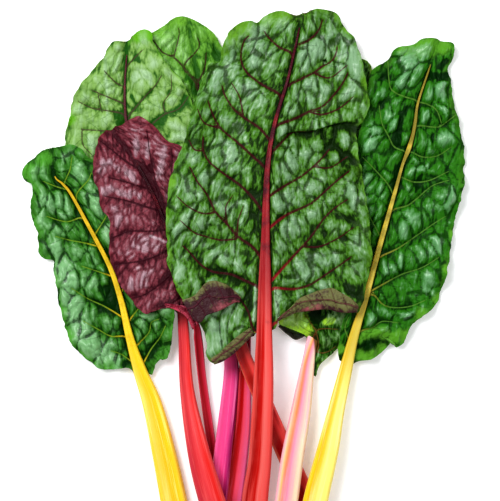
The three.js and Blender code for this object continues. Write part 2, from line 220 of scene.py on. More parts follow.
            ("-97,104 -86,96", 2.5, 0.4),
        ],
        "folds": [
            (
                "-62,-8 -53,-11 -46,-15 -42,-21 -40,-28",
                "-61.8,-7 -52,-8 -43,-11 -38,-18 -36,-28",
                1.1, 0.5, 0.5, 0.5,
            ),
        ],
        "base": -22, "rib_end": 112, "grid": (170, 66), "puff": 1.6, "ruffle": 1.5, "cell": 7.5, "lean": 1,
        "vein": 1.2, "valley": 4.5,
    },
    "right_yellow_stalk_leaf": {
        "stalk": """47,-223,9.5,20.5,10.5 57,-166,10.6,20,10.5 67,-125,10,17.5,9.5 74,-93,7.5,13.5,8.5
            82,-60,5,10.5,7.5 89,-31,5,7.5,6 99,3,5,5.5,5 120.5,78,5,3.2,3.2 127.5,103,5,2.4,2.8
            132.5,116,5,3.6,3 136,128,5,2.8,2.8 138,139,5,2.6,2.6 140,153,4.5,1.9,2.4 146.5,173,4.5,1.5,2
            150,183,4.8,1.3,1.6 157,203.5,5,1.2,1.2""",
        "left": """77,-53 76,-41 79,-25 85,-5 87,19 85,51 87,83 90,115 95,143 99,163 103,179 115,187 122,197
            136,200 144,205 154,205""",
        "right": """87,-57 92,-54 103,-52 113,-45 120,-38 123,-43 129,-38 134,-26 152,-11 158,-1 165,30 170,61
            176,86 177,114 170,148 167,170 164,179 168,190 168,201 160,203""",
        "veins": [
            "140,135 156,134 163,138 169,143", "141,154 151,151 156,146 159,137", "134,114 144,110 156,111 167,118",
            "139.6,155 128,159 119,164 116.5,175 116,187", "130.5,114 121,118 116,127 111,137 109,151",
            "116,88 108,97 96,109", "126,94 136,90 149,91 164,98", "121,68 132,71 141,78 152,87 164,91",
            "110,30 123,36 138,46 151,55 162,62", "103,3 116,10 128,16 143,21 156,29",
            "103,0 111,-8 120,-11 134,-10 146,-5", "95,-29 103,-27 111,-22 123,-23", "84,-36 81,-27 84,-18",
            "111,43 106,53 100,64", "104,21 100,30 96,40",
        ],
        "bright": """93,-49,5 99,-51,5 105,-49,6 111,-45,6 92,-36,4 98,-32,5 105,-31,5 112,-31,6 120,-35,5
            125,-34,6 130,-33,5 78,-44,4 163,20,5 168,48,4 156,-4,5 142,-16,6 160,198,7 150,199,9 139,198,9
            129,196,6""",
        "shades": "92,9,0.85 150,10,0.35",
        "marks": [
            ("96,-45 102,-42 109,-38", 5, -4), ("158,182 163,187", 2, -1.5), ("149,175 158,174 163,176", 2.5, -1.5),
            ("150,197 136,193", 9, 0.5), ("124,101 121,84", 3, -0.7), ("130,150 124,134 122,122", 4, -0.6),
            ("152,127 151,117", 2, -0.7), ("143,97 138,82", 2.2, -0.8), ("126,139 124,123", 2.5, -0.6),
            ("112,175 108,160 112,150", 2.5, -0.5),
        ],
        "base": -56, "rib_end": 190, "grid": (200, 78), "puff": 2.2, "ruffle": 1.8, "cell": 14, "lean": 1.2,
        "vein": 0.95, "valley": 3.2,
    },
    "centre_leaf": {
        "stalk": """5,-225,0.5,21,11 9,-166,6.5,21,11 13,-133,11.5,18.5,10 15,-93,17.5,17,9
            16,-62,19.5,15.5,8.5 16.5,-29,20,12.5,8 17,12,18,10,7 17.5,46,16,7,5.5 19,99,14,4.3,4.5
            25,136,12.5,3.2,3.5 36,174,10,2.2,2.5 47.5,225.5,8,1.3,1.4""",
        "left": """8,-29 0,-36 -8,-44 -16,-50 -24,-54 -29,-49 -30,-33 -39,-14 -48,-3 -57,16 -60,31 -60,68
            -57,94 -48,119 -41,145 -37,159 -28,182 -19,186 -17,197 -10.5,209 -2.5,216.5 5.5,218.8 11,217.4
            13.5,220.5 18.5,224 31,226.6 41,223 45.5,224""",
        "right": """25,-27 29,-17 44,-14 59,-10 74,-12 87,-14 91,-14 94.5,-4 97.8,7 101,20 101,39 98,74 92,106
            90,131 96,139 100,152 96,176 90,201 79,215 73,225 59,228 50,224""",
        "veins": [
            "38,193 28,198 20,206 17,210", "28,160 16,167 3,177 -2,188 0,201 4,206",
            "20,124 12,133 0,141 -8,148 -15,159 -17,166", "16,102 7,110 -6,122 -18,132 -24,142 -28,153",
            "15,66 7,77 -3,87 -13,94 -20,99 -27,105 -32,114 -32,125",
            "14,29 7,38 -5,46 -13,56 -22,65 -28,78 -37,90 -42,100", "-6,44 -18,43 -30,46 -39,49 -49,58",
            "10,7 1,11 -10,16 -24,18 -34,24 -42,33 -47,38", "8,-28 4,-14 -3,-3",
            "38,168 48,173 56,177 64,183 70,186 74,192 75,198", "43,199 52,203 60,211 63,219",
            "29,136 42,141 52,146 63,150 72,159 79,168 83,176", "24,114 32,123 39,130 48,132 54,131",
            "22,79 34,87 46,94 56,102 63,109 68,115", "22,54 34,63 47,69 55,73 64,81 74,90 84,98",
            "24,13 34,24 47,38 54,46 64,60 72,68 82,75", "24,5 39,4 52,7 62,13 74,21 85,29", "28,-20 47,-5 59,1",
            "47,38 61,38 76,45 87,53", "-13,56 -14,69 -9,78", "-5,46 -4,59 0,70", "-18,132 -31,136 -36,146",
            "0,141 -3,157 -9,168", "56,102 69,101 82,109", "52,146 63,144 77,149 87,157", "56,177 69,173 82,182",
            "-22,65 -32,64 -43,69 -52,77", "-32,114 -39,115 -43,122",
        ],
        "steps": [("27,124 36,131 54,133 68,137 80,139 92,137", 5, 16)],
        "folds": [
            (
                "27,-20 38,-14 45,-12 52,-11 60,-10 68,-10 75,-12 82,-13 90,-13",
                "27,-19 37,-10 43,-4 52,0 60,3 70,5 78,1 85,-3 91,-9",
                1.8, 0.75, 0.45, 0.16,
            ),
            (
                "-40,-18 -34,-20 -29,-14 -18,-10 -7,-5 -3,-5",
                "-48,-4 -38,0 -30,9 -23,11 -15,9 -8,4 -2,-2",
                1.6, 0.1, 0.85, 0.4,
            ),
            (
                "-23,-54 -16,-50.5 -8,-44.5 0,-37 8,-30",
                "-26,-50.5 -19,-45.5 -12,-39 -4,-32 5,-26",
                1.2, 0.8, 0.5, 0.01,
            ),
        ],
        "holes": "65,186,1.5",
        "bright": "20,219,7 31,222,8 0,213,9 -9,203,8 -15,196,6 -59,30,4 -61,60,3 -56,88,4 84,213,5 97,170,5",
        "marks": [
            ("84,8 92,0 94,-8", 8, -0.7), ("54,127 68,131 82,133 90,131", 5, -1),
            ("9.8,6 9.2,-8 8.6,-20", 1.5, 1.6), ("26,4 26.5,-8 27.5,-20", 1.5, 1.6),
            ("9,100 7,75 6,50 2,25", 5, -0.35), ("-3,7 3,3 6,-8", 4.5, -0.6), ("72,120 80,104", 8, -0.4),
            ("86,62 87,48", 5, -0.5), ("91,90 89,82", 4, -0.4), ("-8,190 12,208", 12, 0.25),
            ("42,200 70,205 85,185", 14, 0.2), ("60,120 40,118", 4, -0.3), ("-40,20 -30,30", 8, -0.25),
            ("66,122 78,114 86,108", 6, -0.5), ("74,4 86,2", 5, -0.6), ("80,58 72,62", 4, -0.5),
            ("-22,20 -4,12", 4, -0.5), ("-48,0 -36,6 -28,14", 4, -0.4), ("30,-8 40,-2", 3, -0.3),
            ("24,40 30,62", 3, -0.3), ("56,36 70,54", 3, -0.4), ("8,118 4,132", 3, -0.5),
        ],
        "base": -30, "rib_end": 219, "coloured": (-70, 62), "grid": (224, 92), "puff": 2, "ruffle": 1.8,
        "cell": 13, "lean": 1.5, "left_dip": 3, "left_tone": 0.3, "vein": 1.7,
    },
})


def curve(points, count):
    """count points evenly spaced on the smooth curve through points, measured along their first two numbers."""
    p = np.array(points, float)
    p = np.vstack([2 * p[0] - p[1], p, 2 * p[-1] - p[-2]])
    t = np.linspace(0, 1, 24, endpoint=False)[:, None]
    parts = []
    for a, b, c, d in zip(p, p[1:], p[2:], p[3:]):
        bend = (2 * a - 5 * b + 4 * c - d) * t**2 + (3 * b - a - 3 * c + d) * t**3
        parts.append(b + 0.5 * ((c - a) * t + bend))
    dense = np.vstack(parts + [p[-2:-1]])
    run = np.concatenate([[0], np.cumsum(np.hypot(*np.diff(dense[:, :2], axis=0).T))])
    at = np.linspace(0, run[-1], count)
    return np.stack([np.interp(at, run, column) for column in dense.T], axis=1)


def length_of(line):
    return np.hypot(*np.diff(line[:, :2], axis=0).T).sum()


def ease(x, low, high):
    """0 below low, 1 above high, and a smooth rise between."""
    t = np.clip((x - low) / (high - low), 0, 1)
    return t * t * (3 - 2 * t)


def noise(x, y, size, seed):
    """Smooth random numbers from about -1 to 1, in lumps about size across."""
    angles = np.random.default_rng(seed).uniform(0, 2 * math.pi, (128, 128))
    turn = 0.6 + seed
    gx = (x * math.cos(turn) + y * math.sin(turn)) / size
    gy = (y * math.cos(turn) - x * math.sin(turn)) / size
    ix, iy = np.floor(gx).astype(int), np.floor(gy).astype(int)
    fx, fy = gx - ix, gy - iy
    sx, sy = ease(fx, 0, 1), ease(fy, 0, 1)

    def corner(dx, dy):
        angle = angles[(iy + dy) % 128, (ix + dx) % 128]
        return np.cos(angle) * (fx - dx) + np.sin(angle) * (fy - dy)

    low = corner(0, 0) * (1 - sx) + corner(1, 0) * sx
    high = corner(0, 1) * (1 - sx) + corner(1, 1) * sx
    return 1.6 * (low * (1 - sy) + high * sy)


def cells(x, y, size, seed):
    """How deep each point lies in its cell of an uneven net, from 0 to about 0.5, and the cell's random number."""
    table = np.random.default_rng(seed).uniform(0, 1, (128, 128, 3))
    gx, gy = x / size, y / size
    ix, iy = np.floor(gx).astype(int), np.floor(gy).astype(int)
    around = [(dx, dy) for dx in (-1, 0, 1) for dy in (-1, 0, 1)]
    seeds = []
    for dx, dy in around:
        row = table[(iy + dy) % 128, (ix + dx) % 128]
        seeds.append((ix + dx + 0.1 + 0.8 * row[:, 0] - gx, iy + dy + 0.1 + 0.8 * row[:, 1] - gy, row[:, 2]))
    sx, sy, own = (np.array(part) for part in zip(*seeds))
    nearest = np.argmin(sx**2 + sy**2, axis=0)
    pick = np.arange(len(gx))
    nx, ny = sx[nearest, pick], sy[nearest, pick]
    gap_x, gap_y = sx - nx, sy - ny
    length = np.hypot(gap_x, gap_y)
    middle = ((sx + nx) * gap_x + (sy + ny) * gap_y) / 2
    depth = np.where(length > 1e-9, middle / np.maximum(length, 1e-9), 9)
    return depth.min(axis=0), own[nearest, pick]


def distance_to(x, y, line, reach=1e9):
    """How far each point is from a line, at which share of its length, and on which side: 1 is the left."""
    best, along, side = np.full(len(x), 1e9), np.zeros(len(x)), np.ones(len(x))
    run = np.concatenate([[0], np.cumsum(np.hypot(*np.diff(line[:, :2], axis=0).T))])
    low, high = line[:, :2].min(0) - reach, line[:, :2].max(0) + reach
    near = np.flatnonzero((x > low[0]) & (x < high[0]) & (y > low[1]) & (y < high[1]))
    px, py = x[near], y[near]
    b, a, s = best[near], along[near], side[near]
    for i, (start, end) in enumerate(zip(line[:-1, :2], line[1:, :2])):
        step = end - start
        t = np.clip(((px - start[0]) * step[0] + (py - start[1]) * step[1]) / max(step @ step, 1e-9), 0, 1)
        dx, dy = px - start[0] - t * step[0], py - start[1] - t * step[1]
        d = np.hypot(dx, dy)
        closer = d < b
        b[closer] = d[closer]
        a[closer] = ((run[i] + t * (run[i + 1] - run[i])) / run[-1])[closer]
        s[closer] = np.sign(step[0] * dy - step[1] * dx)[closer]
    best[near], along[near], side[near] = b, a, s
    return best, along, side


def bell(distance, radius):
    """1 at no distance, which fades smoothly away at about twice the radius."""
    return np.exp(-((distance / radius) ** 2))


def beside(x, y, line, radius):
    """1 for the points on a line, which fades smoothly away at about twice the radius."""
    return bell(distance_to(x, y, curve(line, 12), 3 * radius)[0], radius)


class Pile:
    """The height of what already lies on the table, in cells of one millimetre."""

    LOW_X, LOW_Y, WIDE, LONG = -200, -250, 400, 500

    def __init__(self):
        self.height = np.zeros((self.LONG, self.WIDE))
        self.soft = self.height

    def place(self, x, y):
        row = np.clip(np.round(y - self.LOW_Y).astype(int), 0, self.LONG - 1)
        column = np.clip(np.round(x - self.LOW_X).astype(int), 0, self.WIDE - 1)
        return row, column

    @staticmethod
    def widen(height, times):
        """height with every cell as high as its highest neighbour, so many times over."""
        for axis in (0, 1) * times:
            height = np.maximum(height, np.maximum(np.roll(height, 1, axis), np.roll(height, -1, axis)))
        return height

    def lay(self, x, y, z):
        """Adds the points of a piece, closes the gaps between them and keeps a smoothed copy."""
        new = np.zeros_like(self.height)
        np.maximum.at(new, self.place(x, y), z)
        self.height = np.maximum(self.height, self.widen(new, 1))
        soft = self.widen(self.height, 4)
        for axis in (0, 1) * 3:
            for way in (1, -1):
                soft = (np.roll(soft, 2 * way, axis) + np.roll(soft, way, axis) + soft) / 3
        self.soft = soft

    def over(self, x, y):
        """The smoothed height under each point."""
        return self.soft[self.place(x, y)]


# Everything laid down so far, and the blades alone.
PILE, BLADES = Pile(), Pile()
# Millimetres: a wave of a blade's margin, the gap between two leaves, how far a blade may rise above the solids, and
# how far from a side vein and from its branches their colours and hollows are still worked out.
WAVE_LENGTH, GAP, RISE = 26, 0.3, 1.2
VEIN_REACH, BRANCH_REACH = 16, 8


def deselect():
    if bpy.context.object and bpy.context.object.mode != "OBJECT":
        bpy.ops.object.mode_set(mode="OBJECT")
    bpy.ops.object.select_all(action="DESELECT")


def choose(piece, *others):
    """Selects these pieces and nothing else, and makes the first one active."""
    deselect()
    for chosen in (piece, *others):
        chosen.select_set(True)
    bpy.context.view_layer.objects.active = piece


def in_edit_mode(piece, operator, **settings):
    """Runs an operator on all of a piece in edit mode."""
    choose(piece)
    bpy.ops.object.mode_set(mode="EDIT")
    bpy.ops.mesh.select_all(action="SELECT")
    operator(**settings)
    bpy.ops.object.mode_set(mode="OBJECT")


def grid_piece(name, across, along, materials):
    """A grid primitive, ready for its points to be placed: across by along points, across first."""
    deselect()
    bpy.ops.mesh.primitive_grid_add(x_subdivisions=across - 1, y_subdivisions=along - 1, size=1)
    piece = bpy.context.object
    piece.name = piece.data.name = name
    if len(piece.data.vertices) != across * along:
        raise RuntimeError(f"{name}: the grid has {len(piece.data.vertices)} points, not {across * along}")
    for material in materials:
        piece.data.materials.append(material)
    return piece


def place_points(piece, x, y, z):
    """Puts the piece's points at x, y, z, in millimetres."""
    points = np.stack([np.ravel(x), np.ravel(y), np.ravel(z)], axis=1) * MM
    piece.data.vertices.foreach_set("co", points.astype(np.float32).ravel())
    piece.data.update()


def keep_values(piece, **values):
    """Stores one number for each point under each name, for the piece's material."""
    for name, value in values.items():
        attribute = piece.data.attributes.new(name, "FLOAT", "POINT")
        attribute.data.foreach_set("value", np.ravel(value).astype(np.float32))


def finish_piece(piece, node):
    choose(piece)
    bpy.ops.object.shade_smooth()
    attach(piece, "root")
    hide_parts(node)


def bed_height(node, x, y):
    """The height of a solid blade's top at each point: the mean height of the corners near it, and half a wall."""
    corners = np.array([v.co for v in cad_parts[node].data.vertices]) / MM
    found = np.empty(len(x))
    smoothing, half_wall, batch = 8.0, 0.6, 8000
    for start in range(0, len(x), batch):
        part = slice(start, start + batch)
        gap = (x[part, None] - corners[:, 0]) ** 2 + (y[part, None] - corners[:, 1]) ** 2
        weight = np.exp(-gap / (2 * smoothing**2)) + 1e-12
        found[part] = (weight @ corners[:, 2]) / weight.sum(axis=1)
    return found + half_wall


def stalk_path(name, count):
    """count rows of x, y, underside height, width and height, cut end first, lifted clear of lower blades."""
    path = curve(LEAVES[name]["stalk"], count)
    lift = np.zeros(count)
    for shift in (-0.4, 0, 0.4):
        x = path[:, 0] + shift * path[:, 3]
        lift = np.maximum(lift, BLADES.over(x, path[:, 1]) + 0.4 - path[:, 2])
    lift[BLADES.over(path[:, 0], path[:, 1]) < 0.5] = 0
    reach = max(1, count // 30)
    wide = np.max([np.roll(lift, k) for k in range(-reach, reach + 1)], axis=0)
    wide[:reach], wide[-reach:] = wide[reach], wide[-reach - 1]
    kernel = np.hanning(2 * reach + 3)[1:-1]
    smooth = np.convolve(np.pad(wide, reach, mode="edge"), kernel / kernel.sum(), mode="valid")
    path[:, 2] += smooth
    return path


def blade_part(name, path, count):
    """The part of the stalk's path that the blade grows on, as count rows."""
    start = np.argmin(np.abs(path[:, 1] - LEAVES[name]["base"]))
    return curve(path[start :: max(1, len(path) // 60)].tolist() + [path[-1].tolist()], count)


def branches(vein, rng):
    """Thin veins that leave a side vein on both sides in turn."""
    line = curve(vein, 12)
    length = length_of(line)
    found, side = [], 1
    first, last, apart = 3.0, length - 2.0, 5.5
    for share in np.arange(first, last, apart) / length:
        i = int(share * 10)
        heading = math.atan2(*(line[i + 1] - line[i])[[1, 0]])
        turn = side * rng.uniform(0.7, 1.1)
        side = -side
        step = rng.uniform(2.2, 4.2)
        point = line[i] + (line[i + 1] - line[i]) * (share * 10 - i)
        points = [point]
        for _ in range(4):
            point = point + step * np.array([math.cos(heading + turn), math.sin(heading + turn)])
            turn *= 0.82
            points.append(point)
        found.append(points)
    return found


def rooted(points, rib):
    """A side vein drawn back to the midrib if it starts beside it, and how far off it starts, from 0 to 1."""
    gap = np.hypot(rib[:, 0] - points[0][0], rib[:, 1] - points[0][1])
    i = int(gap.argmin())
    far = float(ease(gap[i] - rib[i, 3] / 2, 5, 14))
    if far < 0.5:
        root = rib[max(0, i - int(3 + gap[i] / 2))]
        points = [(root[0], root[1]), *points]
    return points, far


def draw_veins(leaf, rib, x, y, rng, width):
    """How near the side veins and their branches are to each point, and how far out on its vein each point is."""
    far_off, off_side = 99.0, 9.0
    vein, vein_gap, fine = (np.full(len(x), far_off) for _ in range(3))
    vein_side, fine_side = np.full(len(x), off_side), np.full(len(x), off_side)
    tone = np.zeros(len(x))
    for points in leaf["veins"]:
        points, far = rooted(points, rib)
        d, along, side = distance_to(x, y, curve(points, 16), VEIN_REACH)
        half = width * (1 - 0.3 * far) * (0.62 - 0.3 * along)
        closer = d - half < vein
        vein[closer] = (d - half)[closer]
        vein_side[closer] = (side * d / half)[closer]
        vein_gap = np.minimum(vein_gap, d + 1.5 * along + 1.5 * far)
        shift = (points[-1][0] < points[0][0]) * leaf.get("left_tone", 0) + 0.5 * float(ease(points[0][1], 20, 120))
        tone[closer] = np.maximum(along, 0.6 * far)[closer] + shift
        for branch in branches(points, rng):
            d, along, side = distance_to(x, y, curve(branch, 8), BRANCH_REACH)
            closer = d < fine
            fine[closer] = d[closer]
            fine_side[closer] = (side * d / (0.36 - 0.2 * along))[closer]
    return vein_gap, {"vein": vein, "vein_side": vein_side, "tone": tone, "fine": fine, "fine_side": fine_side}


def make_blade(name, path, sizes, materials):
    """A blade as a grid between its margins, swollen between its veins and laid over what the pile holds."""
    leaf = LEAVES[name]
    rows, columns = leaf["grid"]
    rib = blade_part(name, path, rows + 1)
    left, right = curve(leaf["left"], rows + 1), curve(leaf["right"], rows + 1)
    share = np.linspace(0, 1, columns + 1)[1:]
    x = np.empty((rows + 1, 2 * columns + 1))
    y = np.empty_like(x)
    for out, k in ((x, 0), (y, 1)):
        out[:, columns] = rib[:, k]
        out[:, columns + 1 :] = rib[:, k, None] + (right[:, k] - rib[:, k])[:, None] * share
        out[:, :columns] = (rib[:, k, None] + (left[:, k] - rib[:, k])[:, None] * share)[:, ::-1]
    shape = x.shape
    x, y = x.ravel(), y.ravel()
    seed = len(name) * 7 + rows

    margin = np.vstack([left, right[::-1]])
    edge, edge_run, _ = distance_to(x, y, margin)
    rib_gap, rib_run, rib_side = distance_to(x, y, rib)

    def on_rib(values):
        """The midrib's values at the place that is nearest to each point."""
        return np.interp(rib_run, np.linspace(0, 1, rows + 1), values)

    rib_gap = np.maximum(rib_gap - on_rib(rib[:, 3]) * 0.45, 0)
    width = sizes.vein_width / MM * leaf.get("vein", 1)
    vein_gap, values = draw_veins(leaf, rib, x, y, np.random.default_rng(seed), width)

    # The puffs lie in the cells of an uneven net that follows the midrib, with smaller ones on them.
    spread = np.sign(rib_side) * (rib_gap + 7 * (1 - np.exp(-rib_gap / 9)))
    length = rib_run * length_of(rib)
    warp_x, warp_y = (noise(x, y, 16, seed + k) * 4.5 for k in (1, 2))
    cell, small_cell = leaf["cell"], 0.42
    depth, chance = cells(spread + warp_x, (length + 0.7 * rib_gap + warp_y) / leaf["lean"], cell, seed + 3)
    small_depth, small_chance = cells(x + warp_x * 0.5, y + warp_y * 0.5, cell * small_cell, seed + 4)
    dip = np.where(rib_side > 0, rib_gap / leaf.get("left_dip", 1.4), rib_gap / 1.2)
    quilt = 1 - np.exp(-np.minimum(vein_gap, dip) / leaf.get("valley", 2.4))
    puff = 1 - (1 - np.clip(depth / 0.52, 0, 1)) ** 1.8
    small = 1 - (1 - np.clip(small_depth / 0.45, 0, 1)) ** 2
    dome = 1 - np.exp(-np.minimum(vein_gap, rib_gap) / 8)
    relief = quilt * (0.15 + 0.4 * dome + 0.65 * puff * (0.25 + 1.2 * chance) + 0.15 * small * (0.3 + small_chance))
    relief *= 1 + 0.35 * noise(x, y, 18, seed + 10) + 0.25 * noise(x, y, 7, seed + 11)
    relief = relief * (0.45 + 0.55 * ease(edge, 0.5, 9))
    creases = 0.9 * np.minimum(np.abs(noise(x + warp_x, y + warp_y, 7.0, seed + 5)), 0.25)
    creases = creases + 0.12 * noise(x, y, 3.0, seed + 6)
    height = sizes.puff_height / MM * leaf["puff"] * relief + creases * (0.4 + 0.6 * quilt) * sizes.crinkle
    # Marks raise or sink the blade, and through relief they also paint its colour: painted highlight on a ridge,
    # painted shade in a hollow.
    for line, radius, strength in leaf.get("marks", ()):
        mark = strength * beside(x, y, line, radius)
        relief, height = relief + mark, height + 0.7 * mark

    # The margin is waved, and the whole blade a little uneven.
    phase = 2 * math.pi * edge_run * length_of(margin) / WAVE_LENGTH + 2.2 * noise(x, y, 30, seed + 7)
    height += leaf["ruffle"] * np.exp(-edge / 11) * (np.sin(phase) + 0.8)
    height += 1.8 * noise(x, y, 42, seed + 8) * ease(rib_gap, 0, 20)

    # It lies at the height of its solid, but beside the midrib at the midrib's, and always above what is under it.
    near = bell(rib_gap, 13)
    rib_z = on_rib(rib[:, 2] + 0.55 * rib[:, 4])
    z = bed_height(name + "_blade", x, y) * (1 - near) + rib_z * near + height
    z = z - 0.35 * sizes.puff_height / MM * leaf["puff"]
    floor = PILE.over(x, y) + sizes.blade_thickness / MM + GAP
    z = 0.5 * (z + floor + np.sqrt((z - floor) ** 2 + 0.8**2))
    for line, radius, rise in leaf.get("lifts", ()):
        z += rise * beside(x, y, line, radius)
    for line, rise, reach in leaf.get("steps", ()):
        d, along, side = distance_to(x, y, curve(line, 24), 40)
        fade = np.sin(np.clip(along, 0.02, 0.98) * math.pi) ** 0.5 * (d < 39)
        high = side > 0
        # Painted shadow: on the lower side of a step the relief shrinks here, which only darkens the colour.
        relief = np.where(high, relief, relief * (1 - fade * np.exp(-d / 7)))
        z += rise * fade * np.where(high, np.exp(-d / reach), np.exp(-d / 0.8))
        lean = 0.6 * rise * fade * np.where(high, np.exp(-d / 5), np.exp(-d / 1.5))
        x, y = x + lean * (line[-1][1] - line[0][1]) / 60, y - lean * (line[-1][0] - line[0][0]) / 60
    limit = CAD_BOX[1][2] / MM + RISE
    z = 0.5 * (z + limit - np.sqrt((z - limit) ** 2 + 1.0))

    outward = (1.0 * noise(x, y, 7, seed + 9) + 0.5 * noise(x, y, 3, seed + 12)) * np.exp(-edge / 3)
    x_out = x + outward * np.sign(x - on_rib(rib[:, 0]))
    glow = np.zeros(len(x))
    for spot_x, spot_y, radius in leaf.get("bright", ()):
        glow = np.maximum(glow, np.exp(-((x - spot_x) ** 2 + (y - spot_y) ** 2) / radius**2))
    piece = grid_piece(name + "_blade.look", shape[1], shape[0], materials)
    place_points(piece, x_out, y, z)
    edge = np.where(rib_side > 0, edge + 12, edge) if leaf.get("plain") else edge
    # puff carries the relief into the colour: painted shade where it is low, a painted sheen where it is high.
    keep_values(piece, **values, puff=relief, edge=edge, glow=glow, net=small_depth * cell * small_cell)
    keep_values(piece, rift=depth * cell, spread=spread + 0.5 * warp_x, length=length + 0.7 * rib_gap + 0.5 * warp_y)
    PILE.lay(x_out, y, z)
    BLADES.lay(x_out, y, z)

    for number, fold in enumerate(leaf.get("folds", ())):
        choose(piece, make_fold(f"{name}_fold_{number}", materials, *fold))
        bpy.ops.object.join()
    for hole in leaf.get("holes", ()):
        pierce(piece, *hole)
    choose(piece)
    wall = piece.modifiers.new("Wall", "SOLIDIFY")
    wall.thickness, wall.offset, wall.material_offset = sizes.blade_thickness, -1, 1
    bpy.ops.object.modifier_apply(modifier=wall.name)
    finish_piece(piece, name + "_blade")


def pierce(piece, x, y, radius):
    """Removes the faces of a blade within radius millimetres of x, y."""
    choose(piece)
    bpy.ops.object.mode_set(mode="EDIT")
    bpy.ops.mesh.select_mode(type="VERT")
    bpy.ops.mesh.select_all(action="DESELECT")
    bpy.ops.object.mode_set(mode="OBJECT")
    points = np.array([v.co[:2] for v in piece.data.vertices]) / MM
    inside = np.hypot(points[:, 0] - x, points[:, 1] - y) < radius
    piece.data.vertices.foreach_set("select", inside)
    bpy.ops.object.mode_set(mode="EDIT")
    bpy.ops.mesh.delete(type="VERT")
    bpy.ops.object.mode_set(mode="OBJECT")


def make_fold(name, materials, root, rim, radius, bronze, pink, pink_half):
    """
    A margin that rolls up at the line root and back over its own blade as far as the line rim. Its underside shows.
    A margin with a negative radius rolls down instead, and out to the line rim.
    """
    across, along = 32, 84
    root, rim = curve(root, along), curve(rim, along)
    gap = rim - root
    width = np.maximum(np.hypot(*gap.T), 0.01)
    inward = gap / width[:, None]
    taper = np.sin(np.linspace(0.06, 0.94, along) * math.pi) ** 0.6
    r = np.minimum(abs(radius) * taper, width * 0.6) * math.copysign(1, radius)
    base = PILE.over(root[:, 0], root[:, 1]) - 0.5
    share = np.linspace(0, 1, across)
    bend = 0.42  # the share of its width that turns over
    x, y, z = (np.zeros((along, across)) for _ in range(3))
    for j, s in enumerate(share):
        if s < bend:
            turn = math.pi * s / bend
            out, up = -math.sin(turn) * r, (1 - math.cos(turn)) * r
        else:
            out, up = (s - bend) / (1 - bend) * width, 2 * r
        x[:, j], y[:, j] = root[:, 0] + inward[:, 0] * out, root[:, 1] + inward[:, 1] * out
        z[:, j] = base + up
    flat = np.clip((share - bend) / (1 - bend), 0, 1)[None] * np.ones((along, 1))
    run = np.linspace(0, 1, along)[:, None] * np.ones((1, across))
    ripple = noise(x, y, 9, 77) * 1.1 + noise(x, y, 4, 78) * 0.35 + 0.9 * np.sin(run * 21) * flat
    z += ripple * ease(flat, 0.0, 0.3) + 1.2 * np.sin(flat * math.pi) - 1.4 * flat**2
    z = np.where((flat > 0) & (radius > 0), np.maximum(z, PILE.over(x, y) + 0.9), z)
    z = np.clip(z, 0.8, CAD_BOX[1][2] / MM + RISE + 1)
    side_vein = np.abs((run * length_of(root) / 9 + flat * 0.8) % 1 - 0.5) * 9 - 0.3
    piece = grid_piece(name, across, along, materials)
    place_points(piece, x, y, z)
    even = np.ones_like(flat)
    far = even * 9
    middle = np.abs(flat - 0.5 - 0.12 * np.sin(run * 7)) * width[:, None] - 0.35
    keep_values(piece, vein=middle, vein_side=far, tone=bell(run - pink, pink_half), fine=side_vein, fine_side=far)
    keep_values(piece, puff=even * 0.5, edge=(1 - flat) * 10, glow=even * 0, net=far, rift=far, spread=x, length=y)
    keep_values(piece, fold=0.05 + 0.95 * flat, bronze=even * bronze)
    inside_skin = 2
    piece.data.polygons.foreach_set("material_index", np.full(len(piece.data.polygons), inside_skin, np.int32))
    return piece


